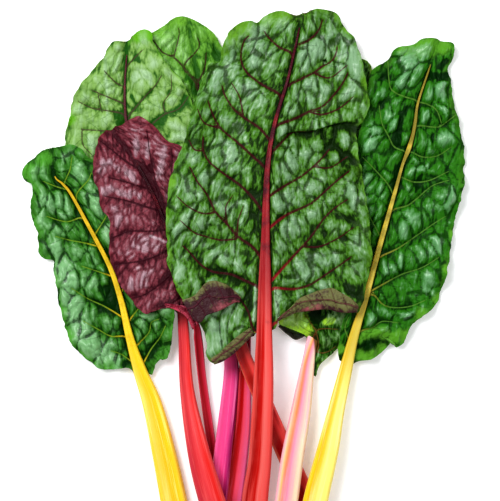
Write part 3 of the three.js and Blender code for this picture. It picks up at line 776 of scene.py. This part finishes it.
def make_stalk(name, path, sizes, materials):
    """A stalk and its midrib as one closed tube with a channel along its top, a cut end and a thin sunk tip."""
    leaf = LEAVES[name]
    end = leaf.get("rib_end", 999)
    sunk = ease(path[:, 1], end - 14, end)
    path = path * np.stack([sunk * 0 + 1] * 3 + [1 - 0.6 * sunk, 1 - 0.7 * sunk], axis=1)
    path[:, 2] -= 2.5 * sunk
    rows, around = len(path), 36
    turn = np.linspace(0, 2 * math.pi, around + 1)
    side, up = np.cos(turn), np.sin(turn)
    heading = np.gradient(path[:, :2], axis=0)
    heading /= np.hypot(*heading.T)[:, None]
    right = np.stack([heading[:, 1], -heading[:, 0]], axis=1)
    low, high = leaf.get("coloured", (leaf["base"] - 40, leaf["base"] + 30))
    below = ease(-path[:, 1], -high, -low)

    across = np.broadcast_to(np.sign(side) * np.abs(side) ** 0.82, (rows, around + 1))
    hollow = sizes.channel * (0.45 + 0.55 * below)[:, None] * np.clip(1 - (across / 0.74) ** 2, 0, 1) ** 0.8
    ridges = 0.02 * np.cos(across * 17)
    lift = np.where(up > 0, np.abs(up) ** 0.75, -np.abs(up) ** 0.9)
    section = 0.5 + 0.5 * lift - np.where(up > 0, 1, 0) * (hollow - ridges * below[:, None])
    wide = across * path[:, 3:4] / 2
    z = path[:, 2:3] + section * path[:, 4:5]
    x = path[:, 0:1] + wide * right[:, 0:1]
    y = path[:, 1:2] + wide * right[:, 1:2]

    def ring(i, scale, shift):
        """Row i drawn in by scale and moved out of its end by shift. Such rings close the cut end and the tip."""
        step = (*(-heading[i] * shift), 0.0)
        return [(v[i] - v[i, :-1].mean()) * scale + v[i, :-1].mean() + by for v, by in zip((x, y, z), step)]

    start = [ring(0, scale, shift) for scale, shift in ((0, 1.0), (0.5, 1.0), (0.9, 0.9), (0.98, 0.4))]
    tip = [ring(-1, scale, shift) for scale, shift in ((0.6, -0.6), (0, -0.8))]
    x, y, z = (np.vstack([[r[k] for r in start], v, [r[k] for r in tip]]) for k, v in enumerate((x, y, z)))
    z = np.maximum(z, 0.0)

    def each_row(first, values, last):
        """values for the rows of the path, with those of the rings at both ends, all the way around."""
        return np.concatenate([[first] * len(start), values, [last] * len(tip)])[:, None] * np.ones(around + 1)

    length = length_of(path)
    along = each_row(0, np.linspace(0, 1, rows), 1) * length
    wide = np.vstack([across[:1]] * len(start) + [across] + [across[-1:]] * len(tip))
    shade = sum(share * bell(path[:, 1] - at, half) for at, half, share in leaf.get("shades", [(0, 1, 0)]))
    piece = grid_piece(name + "_stalk.look", around + 1, len(x), materials)
    place_points(piece, x, y, z)
    keep_values(piece, across=wide, along=along, tip=along / length)
    keep_values(piece, grown=each_row(1, below, 0), shade=each_row(0, shade, 0))
    cut_rows = 2
    cut = np.repeat(np.arange(len(x) - 1) < cut_rows, around)
    piece.data.polygons.foreach_set("material_index", cut.astype(np.int32))
    in_edit_mode(piece, bpy.ops.mesh.remove_doubles, threshold=0.002 * MM)
    in_edit_mode(piece, bpy.ops.mesh.normals_make_consistent, inside=False)
    finish_piece(piece, name + "_stalk")
    PILE.lay(x.ravel(), y.ravel(), z.ravel())


class Number:
    """A number in a material's nodes, so that maths on it is written as an expression."""

    def __init__(self, paint, socket):
        self.paint, self.socket = paint, socket

    def __add__(self, other):
        return self.paint.math("ADD", self, other)

    def __sub__(self, other):
        return self.paint.math("SUBTRACT", self, other)

    def __rsub__(self, other):
        return self.paint.math("SUBTRACT", other, self)

    def __mul__(self, other):
        return self.paint.math("MULTIPLY", self, other)

    __radd__, __rmul__ = __add__, __mul__


class Paint:
    """Builds the nodes of one material."""

    def __init__(self, name):
        self.material = bpy.data.materials.new(name)
        self.material.use_nodes = True
        self.tree = self.material.node_tree
        self.tree.nodes.clear()
        self.place = self.node("ShaderNodeTexCoord").outputs["Object"]

    def node(self, kind, settings=None, inputs=None):
        """A node of this kind: first its settings, then the values or links of its sockets."""
        node = self.tree.nodes.new(kind)
        for key, value in (settings or {}).items():
            if key == "stops":
                ramp = node.color_ramp
                while len(ramp.elements) < len(value):
                    ramp.elements.new(1.0)
                for element, (position, colour) in zip(ramp.elements, value):
                    element.position, element.color = position, (*colour, 1)
            else:
                setattr(node, key, value)
        for key, value in (inputs or {}).items():
            socket = node.inputs[key]
            if isinstance(value, Number):
                value = value.socket
            if isinstance(value, bpy.types.NodeSocket):
                self.tree.links.new(value, socket)
            else:
                socket.default_value = value
        return node

    def math(self, operation, *values):
        return Number(self, self.node("ShaderNodeMath", {"operation": operation}, dict(enumerate(values))).outputs[0])

    def value(self, name):
        """A number that the piece stores for each point."""
        node = self.node("ShaderNodeAttribute", {"attribute_type": "GEOMETRY", "attribute_name": name})
        return Number(self, node.outputs["Fac"])

    def noise(self, size, detail=2.0, vector=None):
        """Noise from 0 to 1, in lumps of size metres, or of size units of vector."""
        inputs = {"Vector": vector or self.place, "Scale": 1 / size, "Detail": detail}
        return Number(self, self.node("ShaderNodeTexNoise", None, inputs).outputs["Fac"])

    def stretched(self, x, y, detail):
        """Noise from 0 to 1 over the places x, y, in lumps about one unit wide."""
        return self.noise(1.0, detail, self.node("ShaderNodeCombineXYZ", None, {"X": x, "Y": y}).outputs[0])

    def net(self, size):
        """Cells of size metres, as the distance from their edges."""
        inputs = {"Vector": self.place, "Scale": 1 / size}
        node = self.node("ShaderNodeTexVoronoi", {"feature": "DISTANCE_TO_EDGE"}, inputs)
        return Number(self, node.outputs["Distance"])

    def ease(self, value, low, high, start=0.0, end=1.0):
        """start below low, end above high, and a smooth change between."""
        inputs = {"Value": value, "From Min": low, "From Max": high, "To Min": start, "To Max": end}
        node = self.node("ShaderNodeMapRange", {"interpolation_type": "SMOOTHSTEP"}, inputs)
        return Number(self, node.outputs["Result"])

    def line(self, name, strength):
        """Where a vein runs: its side value passes through nought there, and its own value says how near it is."""
        across = self.math("ABSOLUTE", self.value(name + "_side"))
        return self.ease(across, 0.7, 1.7, strength, 0.0) * self.ease(self.value(name), 0.8, 1.5, 1.0, 0.0)

    def mix(self, share, first, second):
        """A colour between first and second."""
        first, second = (c if isinstance(c, bpy.types.NodeSocket) else (*c, 1) for c in (first, second))
        return self.node("ShaderNodeMix", {"data_type": "RGBA"}, {0: share, 6: first, 7: second}).outputs[2]

    def coats(self, colour, *coats):
        """colour under its coats, first one first: each is a share and the colour that comes over it."""
        for share, coat in coats:
            colour = self.mix(share, colour, coat)
        return colour

    def bump(self, height, distance):
        return self.node("ShaderNodeBump", None, {"Height": height, "Distance": distance}).outputs["Normal"]

    def finish(self, **inputs):
        """Ends the material in one shader with these inputs."""
        names = {key.replace("_", " "): value for key, value in inputs.items()}
        shader = self.node("ShaderNodeBsdfPrincipled", None, names)
        self.node("ShaderNodeOutputMaterial", None, {"Surface": shader.outputs[0]})
        return self.material


def blade_top(name, colours, finish):
    """The upper face of a blade: puffs between sunk veins, side veins, a paler margin and a waxy gloss, with painted
    shade in the hollows and creases and a painted sheen on top of the puffs.
    """
    paint = Paint(name)
    vein, tone = paint.value("vein"), paint.value("tone")
    puff, edge, net = paint.value("puff"), paint.value("edge"), paint.value("net")
    patches, speckle = paint.noise(0.026, 3), paint.noise(0.0022, 3)
    wide, long = finish["stroke"]
    stroke = paint.stretched(paint.value("spread") * (1 / wide), paint.value("length") * (1 / long), 2)
    swell = puff + (patches - 0.5) * 0.4 + (stroke - 0.5) * finish["streaks"]
    # Painted sheen: a pale painted highlight on top of the puffs. The same mask also sets the glossy coat.
    bloom = paint.ease(swell, *finish["bloom"])
    rim = paint.ease(edge + (patches - 0.5) * 18, 0.0, 4.0, finish["rim"], 0.0) * paint.ease(puff, -0.5, 0.05)
    # threads: thin lines along the small net, veinlets drawn in the painted shade colour.
    threads = paint.ease(net + (speckle - 0.5) * 0.6, 0.05, 0.45, 0.25, 0.0)
    # rift: painted shade in the creases between the puffs.
    gaps = paint.value("rift") + (speckle - 0.5) * 2.0 + (paint.noise(0.009, 2) - 0.5) * 5.0
    rift = paint.ease(gaps, 0.1, 1.5, finish["crease_shade"], 0.0)
    glow = paint.ease(paint.value("glow") + (patches - 0.5) * 0.6 + (speckle - 0.5) * 0.5, 0.2, 0.75, 0.0, 0.85)
    body = paint.line("vein", 0.95) * paint.ease(speckle, 0.3, 0.5, 0.5, 1.0)
    # The hollow colour is painted shade: it lies where the swell is low, in the rifts and along the threads and fine
    # veins.
    colour = paint.coats(
        colours.hollow,
        (paint.ease(swell, 0.0, 0.46), colours.puff),
        (bloom, colours.bloom),
        (rim, colours.margin),
        (threads, colours.hollow),
        (rift, colours.hollow),
        # glow: pale lime spots, partly painted light on curled rims, tinted by the painted sheen.
        (glow, paint.mix(bloom * 0.5, colours.margin, colours.bloom)),
        (paint.line("fine", 0.4), colours.hollow),
        (body, paint.mix(paint.ease(tone + (speckle - 0.5) * 0.7, 0.0, 0.5), colours.vein, colours.vein_end)),
    )
    grain = paint.noise(0.0011, 2)
    height = stroke * finish["relief"] + speckle * 0.22 + grain * 0.08 + paint.ease(vein, -0.5, 0.4, 0.3, 0.0)
    height = height + paint.ease(net, 0.0, 0.9) * 0.2 - rift * 0.3
    return paint.finish(
        Base_Color=colour,
        Roughness=0.5 + (speckle - 0.5) * 0.12 + body * 0.08,
        Specular_IOR_Level=0.08,
        Coat_Weight=bloom * finish["gloss"],
        Coat_Roughness=0.4,
        Coat_IOR=1.6,
        Normal=paint.bump(height, 0.0007),
    )


def blade_under(name, colours):
    """The underside of a blade: paler and duller, with raised veins."""
    paint = Paint(name)
    patches, speckle = paint.noise(0.012, 3), paint.noise(0.002, 2)
    colour = paint.coats(
        colours.under,
        (paint.ease(patches, 0.35, 0.65), colours.margin),
        (paint.line("fine", 0.5), colours.vein),
        (paint.line("vein", 0.9), colours.vein),
    )
    height = speckle * 0.3 - paint.ease(paint.value("vein"), -0.6, 0.8)
    return paint.finish(
        Base_Color=colour,
        Roughness=0.55 + (speckle - 0.5) * 0.15,
        Specular_IOR_Level=0.4,
        Normal=paint.bump(height, 0.0005),
    )


def fold_skin(name, colours):
    """The underside of a rolled margin: pink by its root, painted shade in the middle and olive at its rim."""
    paint = Paint(name)
    fine, fold, vein = paint.value("fine"), paint.value("fold"), paint.value("vein")
    patches, speckle = paint.noise(0.006, 4), paint.noise(0.0016, 3)
    tone, bronze = paint.value("tone"), paint.value("bronze")
    along = fold + (patches - 0.5) * 0.7 + (speckle - 0.5) * 0.3
    bronzed = bronze + (speckle - 0.5) * 1.2 + (patches - 0.5) * 1.6
    # The middle of the roll is painted shade; the share of bronze turns it olive.
    middle = paint.mix(paint.ease(bronzed, 0.2, 0.9), colours.fold_middle, colours.fold_rim)
    root = paint.mix(paint.ease(tone + patches - 0.5, 0.3, 0.8), colours.fold_middle, colours.fold_root)
    colour = paint.coats(
        root,
        (paint.ease(bronze * 0.2 + along, 0.1, 0.38), middle),
        (paint.ease(along, 0.75, 1.0), colours.fold_rim),
        (paint.ease(fine, -0.3, 0.5, 0.6, 0.0), colours.fold_vein),
        (paint.ease(vein + (speckle - 0.5), -0.2, 0.7, 0.75, 0.0), colours.fold_vein),
    )
    height = speckle * 0.5 + patches * 1.5 + paint.ease(fine, -0.3, 0.5, 0.4, 0.0)
    height = height + paint.ease(vein, -0.3, 0.8, 0.6, 0.0)
    return paint.finish(
        Base_Color=colour,
        Roughness=0.5 + (speckle - 0.5) * 0.2,
        Specular_IOR_Level=0.2,
        Normal=paint.bump(height, 0.0012),
    )


def stalk_skin(name, colours, places):
    """The skin of a stalk: colours from rim to rim, fine lengthwise stripes and a moist gloss. Its bands hold painted
    shade at the left and painted light at the right of some stalks, and its shades are painted shade on the midrib.
    """
    paint = Paint(name)
    across, along, grown = paint.value("across"), paint.value("along"), paint.value("grown")
    stripes = paint.stretched(across * 3.2, along * 0.012, 3)
    fibres = paint.stretched(across * 15, along * 0.03, 2)
    blotches = paint.noise(0.02, 3)
    drift, side, low, high, share = places[5:]
    bands = (colours.left_rim, colours.left, colours.middle, colours.right, colours.right_rim)
    place = across * 0.5 + 0.5 + (stripes - 0.5) * 0.16 + (fibres - 0.5) * 0.06 + (1 - grown) * drift
    stops = list(zip(places, bands))
    ramp = paint.node("ShaderNodeValToRGB", {"stops": stops}, {"Fac": place}).outputs["Color"]
    older = paint.value("tip") + (paint.noise(0.012, 3) - 0.5) * 0.9
    colour = paint.coats(
        ramp,
        (paint.ease(stripes + (fibres - 0.5) * 0.6, 0.48, 0.64, 0.0, 0.6), colours.stripe),
        (paint.ease(blotches, 0.45, 0.75, 0.0, 0.12), colours.left_rim),
        (paint.ease(1 - grown + across * side, low, high, 0.0, share), colours.midrib),
        (paint.ease(older, 0.55, 0.85), colours.tip),
        # Painted shade: the shades darken the midrib towards its tip colour.
        (paint.value("shade"), colours.tip),
    )
    height = fibres * 0.7 + stripes * 0.5 + paint.noise(0.0015, 2) * 0.15
    return paint.finish(
        Base_Color=colour,
        Roughness=0.34 + (fibres - 0.5) * 0.12,
        Specular_IOR_Level=0.14,
        Coat_Weight=grown * 0.12,
        Coat_Roughness=0.25,
        Subsurface_Weight=0.12,
        Subsurface_Radius=(0.004, 0.0015, 0.001),
        Subsurface_Scale=0.6,
        Normal=paint.bump(height, 0.0004),
    )


def cut_face(name, colours):
    """The cut end of a stalk: pale wet flesh with darker strands."""
    paint = Paint(name)
    strands = paint.net(0.0022)
    flesh = paint.noise(0.003, 3)
    flecks, cut_strands = paint.ease(flesh, 0.3, 0.7), paint.ease(strands, 0.0, 0.12, 0.5, 0.0)
    colour = paint.coats(colours.flesh, (flecks, colours.stripe), (cut_strands, colours.middle))
    return paint.finish(
        Base_Color=colour,
        Roughness=0.42 + (flesh - 0.5) * 0.2,
        Normal=paint.bump(strands * 2 + flesh, 0.0004),
    )


def table_top():
    """A plain pale table, very slightly uneven."""
    paint = Paint("table_white")
    cloud = paint.noise(0.35, 2)
    return paint.finish(
        Base_Color=paint.mix(cloud, (0.86, 0.86, 0.87), (0.88, 0.88, 0.89)),
        Roughness=0.75 + (cloud - 0.5) * 0.1,
        Specular_IOR_Level=0.2,
        Emission_Color=(1, 1, 1, 1),
        Emission_Strength=0.18,
        Normal=paint.bump(paint.noise(0.004, 2), 0.0001),
    )


def tint(screen):
    """A screen colour, written as three pairs of hexadecimal figures, as the linear colour that a shader uses."""
    parts = (int(screen[i : i + 2], 16) / 255 for i in (0, 2, 4))
    return tuple(round(p / 12.92 if p <= 0.04045 else ((p + 0.055) / 1.055) ** 2.4, 4) for p in parts)


# A stalk's colours sit at the first five shares of its width. Towards the blade they drift to the left by the
# sixth number, and the midrib's colour comes in: sooner at the right by the seventh, from the eighth to the ninth
# share of that length, and with the tenth as its full strength.
STRAIGHT = (0, 0.2, 0, 1, 0.8)
BANDS = {
    "usual": (0.03, 0.22, 0.5, 0.78, 0.97, *STRAIGHT),
    "crimson_stalk_leaf": (0.03, 0.18, 0.42, 0.54, 0.9, *STRAIGHT),
    "magenta_stalk_leaf": (0.03, 0.2, 0.5, 0.68, 0.86, *STRAIGHT),
    "dark_red_stalk_leaf": (0.03, 0.14, 0.5, 0.66, 0.95, *STRAIGHT),
    "centre_leaf": (0.03, 0.16, 0.47, 0.58, 0.96, *STRAIGHT),
    "pink_white_stalk_leaf": (0.03, 0.16, 0.29, 0.47, 0.8, -0.5, 0.5, 0.5, 0.72, 1),
    "right_yellow_stalk_leaf": (0.02, 0.14, 0.32, 0.52, 0.96, *STRAIGHT),
}
# rim: how much the margin is tinted. gloss: how glossy the puffs are. bloom: at which swell the painted sheen
# on the puffs begins and is full. stroke: width and length in millimetres of the fine wrinkles. streaks and relief:
# how much those show in the colour and in the bump. crease_shade: how dark the painted shade in the creases between
# the puffs is.
FINISHES = {
    name: dict(zip(("rim", "gloss", "bloom", "stroke", "streaks", "relief", "crease_shade"), values))
    for name, values in {
        "usual": (0.3, 0.7, (0.4, 1.0), (2.2, 6.0), 1.6, 1.0, 0.6),
        "centre_leaf": (0.5, 0.7, (0.3, 1.1), (2.4, 6.0), 1.4, 1.0, 0.75),
        "pink_white_stalk_leaf": (0.3, 0.9, (0.3, 0.9), (2.2, 5.0), 1.6, 1.1, 0.6),
        "right_yellow_stalk_leaf": (0.25, 1.0, (0.5, 1.15), (2.4, 6.0), 1.1, 0.9, 0.75),
        "left_yellow_stalk_leaf": (0.4, 0.7, (0.35, 1.1), (3.0, 8.0), 0.9, 0.7, 0.85),
        "burgundy_leaf": (0.3, 0.6, (0.35, 1.2), (4.0, 5.0), 0.9, 1.1, 0.5),
        "red_stalk_leaf": (0.5, 0.3, (0.2, 1.2), (2.8, 7.0), 0.9, 0.6, 0.25),
        "dark_red_stalk_leaf": (0.5, 0.5, (0.35, 1.2), (2.4, 6.0), 1.1, 0.9, 0.35),
    }.items()
}
COLOUR_WORDS = {
    # hollow: painted shade, the dark colour of the shaded hollows and creases of a blade.
    "hollow": "Blade colour down in the veins",
    "puff": "Blade colour on the slopes of its puffs",
    # bloom: a painted highlight, the pale colour where the soft light shines on the puffs.
    "bloom": "Blade colour on top of its puffs, where its wax is thickest",
    "margin": "Colour of the blade's margin",
    "under": "Colour of the blade's underside",
    "vein": "Side veins beside the midrib",
    "vein_end": "Side veins near the margin",
    # The stalk bands are partly the stalks' own colours and partly painted light and shade: on the red stalks the
    # darker left part and paler right part are painted shade and painted light of a channel lit from the left, and
    # the magenta stalk's dark right rim is a painted shadow of the crimson stalk.
    "left_rim": "Left rim of the stalk",
    "left": "Left part of the stalk",
    "middle": "Middle of the stalk",
    "right": "Right part of the stalk",
    "right_rim": "Right rim of the stalk",
    "stripe": "Lengthwise stripes of the stalk",
    "midrib": "Midrib in the lower half of the blade",
    "tip": "Midrib in the upper half of the blade",
    "flesh": "Cut end of the stalk",
    "fold_root": "Rolled margins where they turn over",
    # fold_middle: painted shade in the middle of a rolled margin.
    "fold_middle": "Rolled margins in the middle",
    "fold_rim": "Rolled margins at the rim",
    "fold_vein": "Veins of the rolled margins",
}
# The colours of each leaf in that order: blade and side veins, stalk and midrib, and rolled margins if it has any.
COLOURS = {
    leaf: dict(zip(COLOUR_WORDS, map(tint, screens.split())))
    for leaf, screens in {
        "crimson_stalk_leaf": """122806 46761c 7a9e76 629428 70603e 961428 3c0e14
            be1e28 a80206 b4060a e44a64 d26290 e24c5e 961428 5a141e f0bebe""",
        "magenta_stalk_leaf": """122806 46761c 7a9e76 629428 70603e 961428 3c0e14
            e26096 e24886 e44082 ce3078 8c0e54 ec6ea2 b41e50 781e3c f6c8d7""",
        "dark_red_stalk_leaf": """245410 5a8e2e 7eae5e 6aa234 8c9650 461c20 362c18
            e0785a 9c060a a6080c e84242 e05450 c8282c 6e1422 2e1212 f0beaa""",
        "pink_white_stalk_leaf": """082402 386a14 6c9656 b0e242 608442 602c12 644820
            ecb6c0 f0c47c ee8654 e890ac eaceac eca2b4 684210 603814 fcece0
            1a2c0a 0c1606 46461e 1e220a""",
        "red_stalk_leaf": """1e500e 769c4a 8eae80 5c9c16 8c9650 60262e 423e28
            b83442 c4242e da4044 d8221a d64642 e85c5c 7e2232 54282c f6c8c4""",
        "left_yellow_stalk_leaf": """042a02 367020 72a46c 4c902c 608442 ceac18 688822
            ecc432 f0d054 eeb810 f0c824 eec840 f8e682 ecc828 be9c1a fcf0be""",
        "burgundy_leaf": """380e18 7a3842 a07f88 822e38 783c3c 28040e 340814
            c83c50 820412 960818 be2842 d25064 be283c 3c0410 2c040e ecb4ba
            be465c 8c1c32 ba5468 6e1024""",
        "right_yellow_stalk_leaf": """042a02 2e7014 689e68 5a9628 608442 96882e 527c2c
            eec824 eec016 f2cc36 f6e482 f4de6e f8eca0 cab23e 8c7e2e fcf2c8""",
        "centre_leaf": """122806 46761c 7a9e76 629428 70603e 961428 3c0e14
            d6605a a20602 c00e04 e46a64 d83e3a e2544c 801222 480e1e f6ccc8
            924e54 3a1a20 68683e 541a2a""",
    }.items()
}


def colour_group(leaf):
    """A group of colour settings for one leaf, with that leaf's defaults."""
    settings = {
        key: bpy.props.FloatVectorProperty(
            name=key.replace("_", " ").capitalize(),
            description=COLOUR_WORDS[key],
            subtype="COLOR",
            min=0,
            max=1,
            default=value,
        )
        for key, value in COLOURS[leaf].items()
    }
    return type("CHARD_PG_" + leaf, (bpy.types.PropertyGroup,), {"__annotations__": settings})


COLOUR_GROUPS = {leaf: colour_group(leaf) for leaf in LEAVES}


class CHARD_PG_sizes(bpy.types.PropertyGroup):
    """Sizes that all the leaves and the stage share"""

    blade_thickness: bpy.props.FloatProperty(
        name="Blade thickness", description="Thickness of every blade", default=0.5 * MM, unit="LENGTH"
    )
    puff_height: bpy.props.FloatProperty(
        name="Puff height", description="How far a blade swells between its veins", default=2.6 * MM, unit="LENGTH"
    )
    vein_width: bpy.props.FloatProperty(
        name="Vein width", description="Width of a side vein at the midrib", default=0.95 * MM, unit="LENGTH"
    )
    crinkle: bpy.props.FloatProperty(
        name="Crinkle", description="Strength of the small uneven creases in a blade", default=1.0, subtype="FACTOR"
    )
    channel: bpy.props.FloatProperty(
        name="Stalk channel", description="Depth of the channel along a stalk, as a share of its height", default=0.3,
        subtype="FACTOR",
    )
    camera_lens: bpy.props.FloatProperty(
        name="Camera lens", description="Focal length of the camera in millimetres", default=100.0
    )
    view_width: bpy.props.FloatProperty(
        name="View width", description="Width of table that the camera sees", default=0.4, unit="LENGTH"
    )
    key_power: bpy.props.FloatProperty(
        name="Key light", description="Power of the large soft light at the upper left", default=19.0, unit="POWER"
    )
    fill_power: bpy.props.FloatProperty(
        name="Fill light", description="Power of the soft light at the right", default=4.0, unit="POWER"
    )
    sky: bpy.props.FloatProperty(
        name="Surroundings", description="Brightness of the white surroundings", default=0.4, subtype="FACTOR"
    )


class LeafOperator:
    """What every leaf's operator does: it builds its leaf's blade and stalk on the pile."""

    def execute(self, context):
        name, sizes = self.leaf, context.scene.chard_sizes
        colours = getattr(context.scene, "chard_" + name)
        path = stalk_path(name, 250)
        finish = FINISHES.get(name, FINISHES["usual"])
        blade = [blade_top(name + "_blade", colours, finish), blade_under(name + "_underside", colours)]
        if "folds" in LEAVES[name]:
            blade.append(blade_top(name + "_fold_inside", colours, FINISHES["usual"]))
            blade.append(fold_skin(name + "_fold_outside", colours))
        bands = BANDS.get(name, BANDS["usual"])
        stalk = [stalk_skin(name + "_stalk", colours, bands), cut_face(name + "_cut", colours)]
        make_blade(name, path, sizes, blade)
        make_stalk(name, path, sizes, stalk)
        return {"FINISHED"}


class CHARD_OT_crimson_stalk_leaf(LeafOperator, bpy.types.Operator):
    """Build the lowest leaf, with a crimson stalk and a hidden green blade"""

    bl_idname = "chard.crimson_stalk_leaf"
    bl_label = "Crimson-stalk leaf"
    leaf, blade_slot, stalk_slot = "crimson_stalk_leaf", "green_blade", "crimson_stalk"


class CHARD_OT_magenta_stalk_leaf(LeafOperator, bpy.types.Operator):
    """Build the leaf with a magenta stalk and a hidden green blade"""

    bl_idname = "chard.magenta_stalk_leaf"
    bl_label = "Magenta-stalk leaf"
    leaf, blade_slot, stalk_slot = "magenta_stalk_leaf", "green_blade", "magenta_stalk"


class CHARD_OT_dark_red_stalk_leaf(LeafOperator, bpy.types.Operator):
    """Build the pale green leaf whose dark red stalk slants under the centre leaf"""

    bl_idname = "chard.dark_red_stalk_leaf"
    bl_label = "Dark-red-stalk leaf"
    leaf, blade_slot, stalk_slot = "dark_red_stalk_leaf", "pale_green_blade", "dark_red_stalk"


class CHARD_OT_pink_white_stalk_leaf(LeafOperator, bpy.types.Operator):
    """Build the leaf with a pale stalk striped pink and orange"""

    bl_idname = "chard.pink_white_stalk_leaf"
    bl_label = "Pink-white-stalk leaf"
    leaf, blade_slot, stalk_slot = "pink_white_stalk_leaf", "dark_green_blade", "pink_white_stalk"


class CHARD_OT_red_stalk_leaf(LeafOperator, bpy.types.Operator):
    """Build the pale green leaf at the back left, on a bright red stalk"""

    bl_idname = "chard.red_stalk_leaf"
    bl_label = "Red-stalk leaf"
    leaf, blade_slot, stalk_slot = "red_stalk_leaf", "pale_green_blade", "red_stalk"


class CHARD_OT_left_yellow_stalk_leaf(LeafOperator, bpy.types.Operator):
    """Build the dark green leaf at the left, on a yellow stalk"""

    bl_idname = "chard.left_yellow_stalk_leaf"
    bl_label = "Left yellow-stalk leaf"
    leaf, blade_slot, stalk_slot = "left_yellow_stalk_leaf", "dark_green_blade", "yellow_stalk"


class CHARD_OT_burgundy_leaf(LeafOperator, bpy.types.Operator):
    """Build the small burgundy leaf"""

    bl_idname = "chard.burgundy_leaf"
    bl_label = "Burgundy leaf"
    leaf, blade_slot, stalk_slot = "burgundy_leaf", "burgundy_blade", "dark_red_stalk"


class CHARD_OT_right_yellow_stalk_leaf(LeafOperator, bpy.types.Operator):
    """Build the dark green leaf at the right, on a yellow stalk"""

    bl_idname = "chard.right_yellow_stalk_leaf"
    bl_label = "Right yellow-stalk leaf"
    leaf, blade_slot, stalk_slot = "right_yellow_stalk_leaf", "dark_green_blade", "yellow_stalk"


class CHARD_OT_centre_leaf(LeafOperator, bpy.types.Operator):
    """Build the large green leaf on a red stalk that lies on top"""

    bl_idname = "chard.centre_leaf"
    bl_label = "Centre leaf"
    leaf, blade_slot, stalk_slot = "centre_leaf", "green_blade", "red_stalk"


def soft_light(name, place, power):
    """A square soft light of 0.7 m at place that faces the middle of the leaves."""
    light, middle = bpy.data.lights.new(name, "AREA"), Vector((0.005, 0.035, 0.0))
    light.shape, light.size, light.energy, light.color = "SQUARE", 0.7, power, (0.97, 0.985, 1.0)
    lamp = bpy.data.objects.new(name, light)
    bpy.context.scene.collection.objects.link(lamp)
    lamp.location = place
    lamp.rotation_euler = (middle - Vector(place)).to_track_quat("-Z", "Y").to_euler()


class CHARD_OT_stage(bpy.types.Operator):
    """Build the pale table, the soft lights and the camera"""

    bl_idname = "chard.stage"
    bl_label = "Stage"

    def execute(self, context):
        sizes, scene = context.scene.chard_sizes, context.scene
        deselect()
        just_below = (0, 0, -0.4 * MM)
        bpy.ops.mesh.primitive_circle_add(vertices=96, radius=4.0, fill_type="NGON", location=just_below)
        table = context.object
        table.name = table.data.name = "table"
        table.data.materials.append(table_top())
        soft_light("key_light", (-0.62, 0.58, 1.15), sizes.key_power)
        soft_light("fill_light", (0.85, 0.25, 1.1), sizes.fill_power)
        scene.world = bpy.data.worlds.new("white_surroundings")
        scene.world.use_nodes = True
        background = scene.world.node_tree.nodes["Background"].inputs
        background["Color"].default_value, background["Strength"].default_value = (1, 1, 1, 1), sizes.sky
        scene.view_settings.view_transform = "Standard"
        scene.view_settings.look = "Medium High Contrast"
        camera = bpy.data.objects.new("camera", bpy.data.cameras.new("camera"))
        scene.collection.objects.link(camera)
        camera.data.lens = sizes.camera_lens
        distance = sizes.view_width * sizes.camera_lens / camera.data.sensor_width
        aim_x, aim_y, aim_z = 0.0052, 0.0348, 0.012
        camera.location = (aim_x, aim_y, aim_z + distance)
        scene.camera = camera
        return {"FINISHED"}


class CHARD_PT_panel(bpy.types.Panel):
    """Lists the pieces of the bunch and their sizes"""

    bl_label = "Chard"
    bl_idname = "CHARD_PT_panel"
    bl_space_type = "VIEW_3D"
    bl_region_type = "UI"
    bl_category = "Chard"

    def draw(self, context):
        for name in CHARD_PG_sizes.__annotations__:
            self.layout.prop(context.scene.chard_sizes, name)
        for operator in OPERATORS:
            self.layout.operator(operator.bl_idname)


OPERATORS = (
    CHARD_OT_stage,
    CHARD_OT_crimson_stalk_leaf,
    CHARD_OT_magenta_stalk_leaf,
    CHARD_OT_dark_red_stalk_leaf,
    CHARD_OT_pink_white_stalk_leaf,
    CHARD_OT_red_stalk_leaf,
    CHARD_OT_left_yellow_stalk_leaf,
    CHARD_OT_burgundy_leaf,
    CHARD_OT_right_yellow_stalk_leaf,
    CHARD_OT_centre_leaf,
)
CLASSES = (CHARD_PG_sizes, *COLOUR_GROUPS.values(), *OPERATORS, CHARD_PT_panel)


def register():
    for cls in CLASSES:
        bpy.utils.register_class(cls)
    bpy.types.Scene.chard_sizes = bpy.props.PointerProperty(type=CHARD_PG_sizes)
    for leaf, group in COLOUR_GROUPS.items():
        setattr(bpy.types.Scene, "chard_" + leaf, bpy.props.PointerProperty(type=group))


def unregister():
    for leaf in COLOUR_GROUPS:
        delattr(bpy.types.Scene, "chard_" + leaf)
    del bpy.types.Scene.chard_sizes
    for cls in reversed(CLASSES):
        bpy.utils.unregister_class(cls)


def main():
    register()
    for operator in OPERATORS:
        group, name = operator.bl_idname.split(".")
        getattr(getattr(bpy.ops, group), name)()


if __name__ == "__main__":
    main()
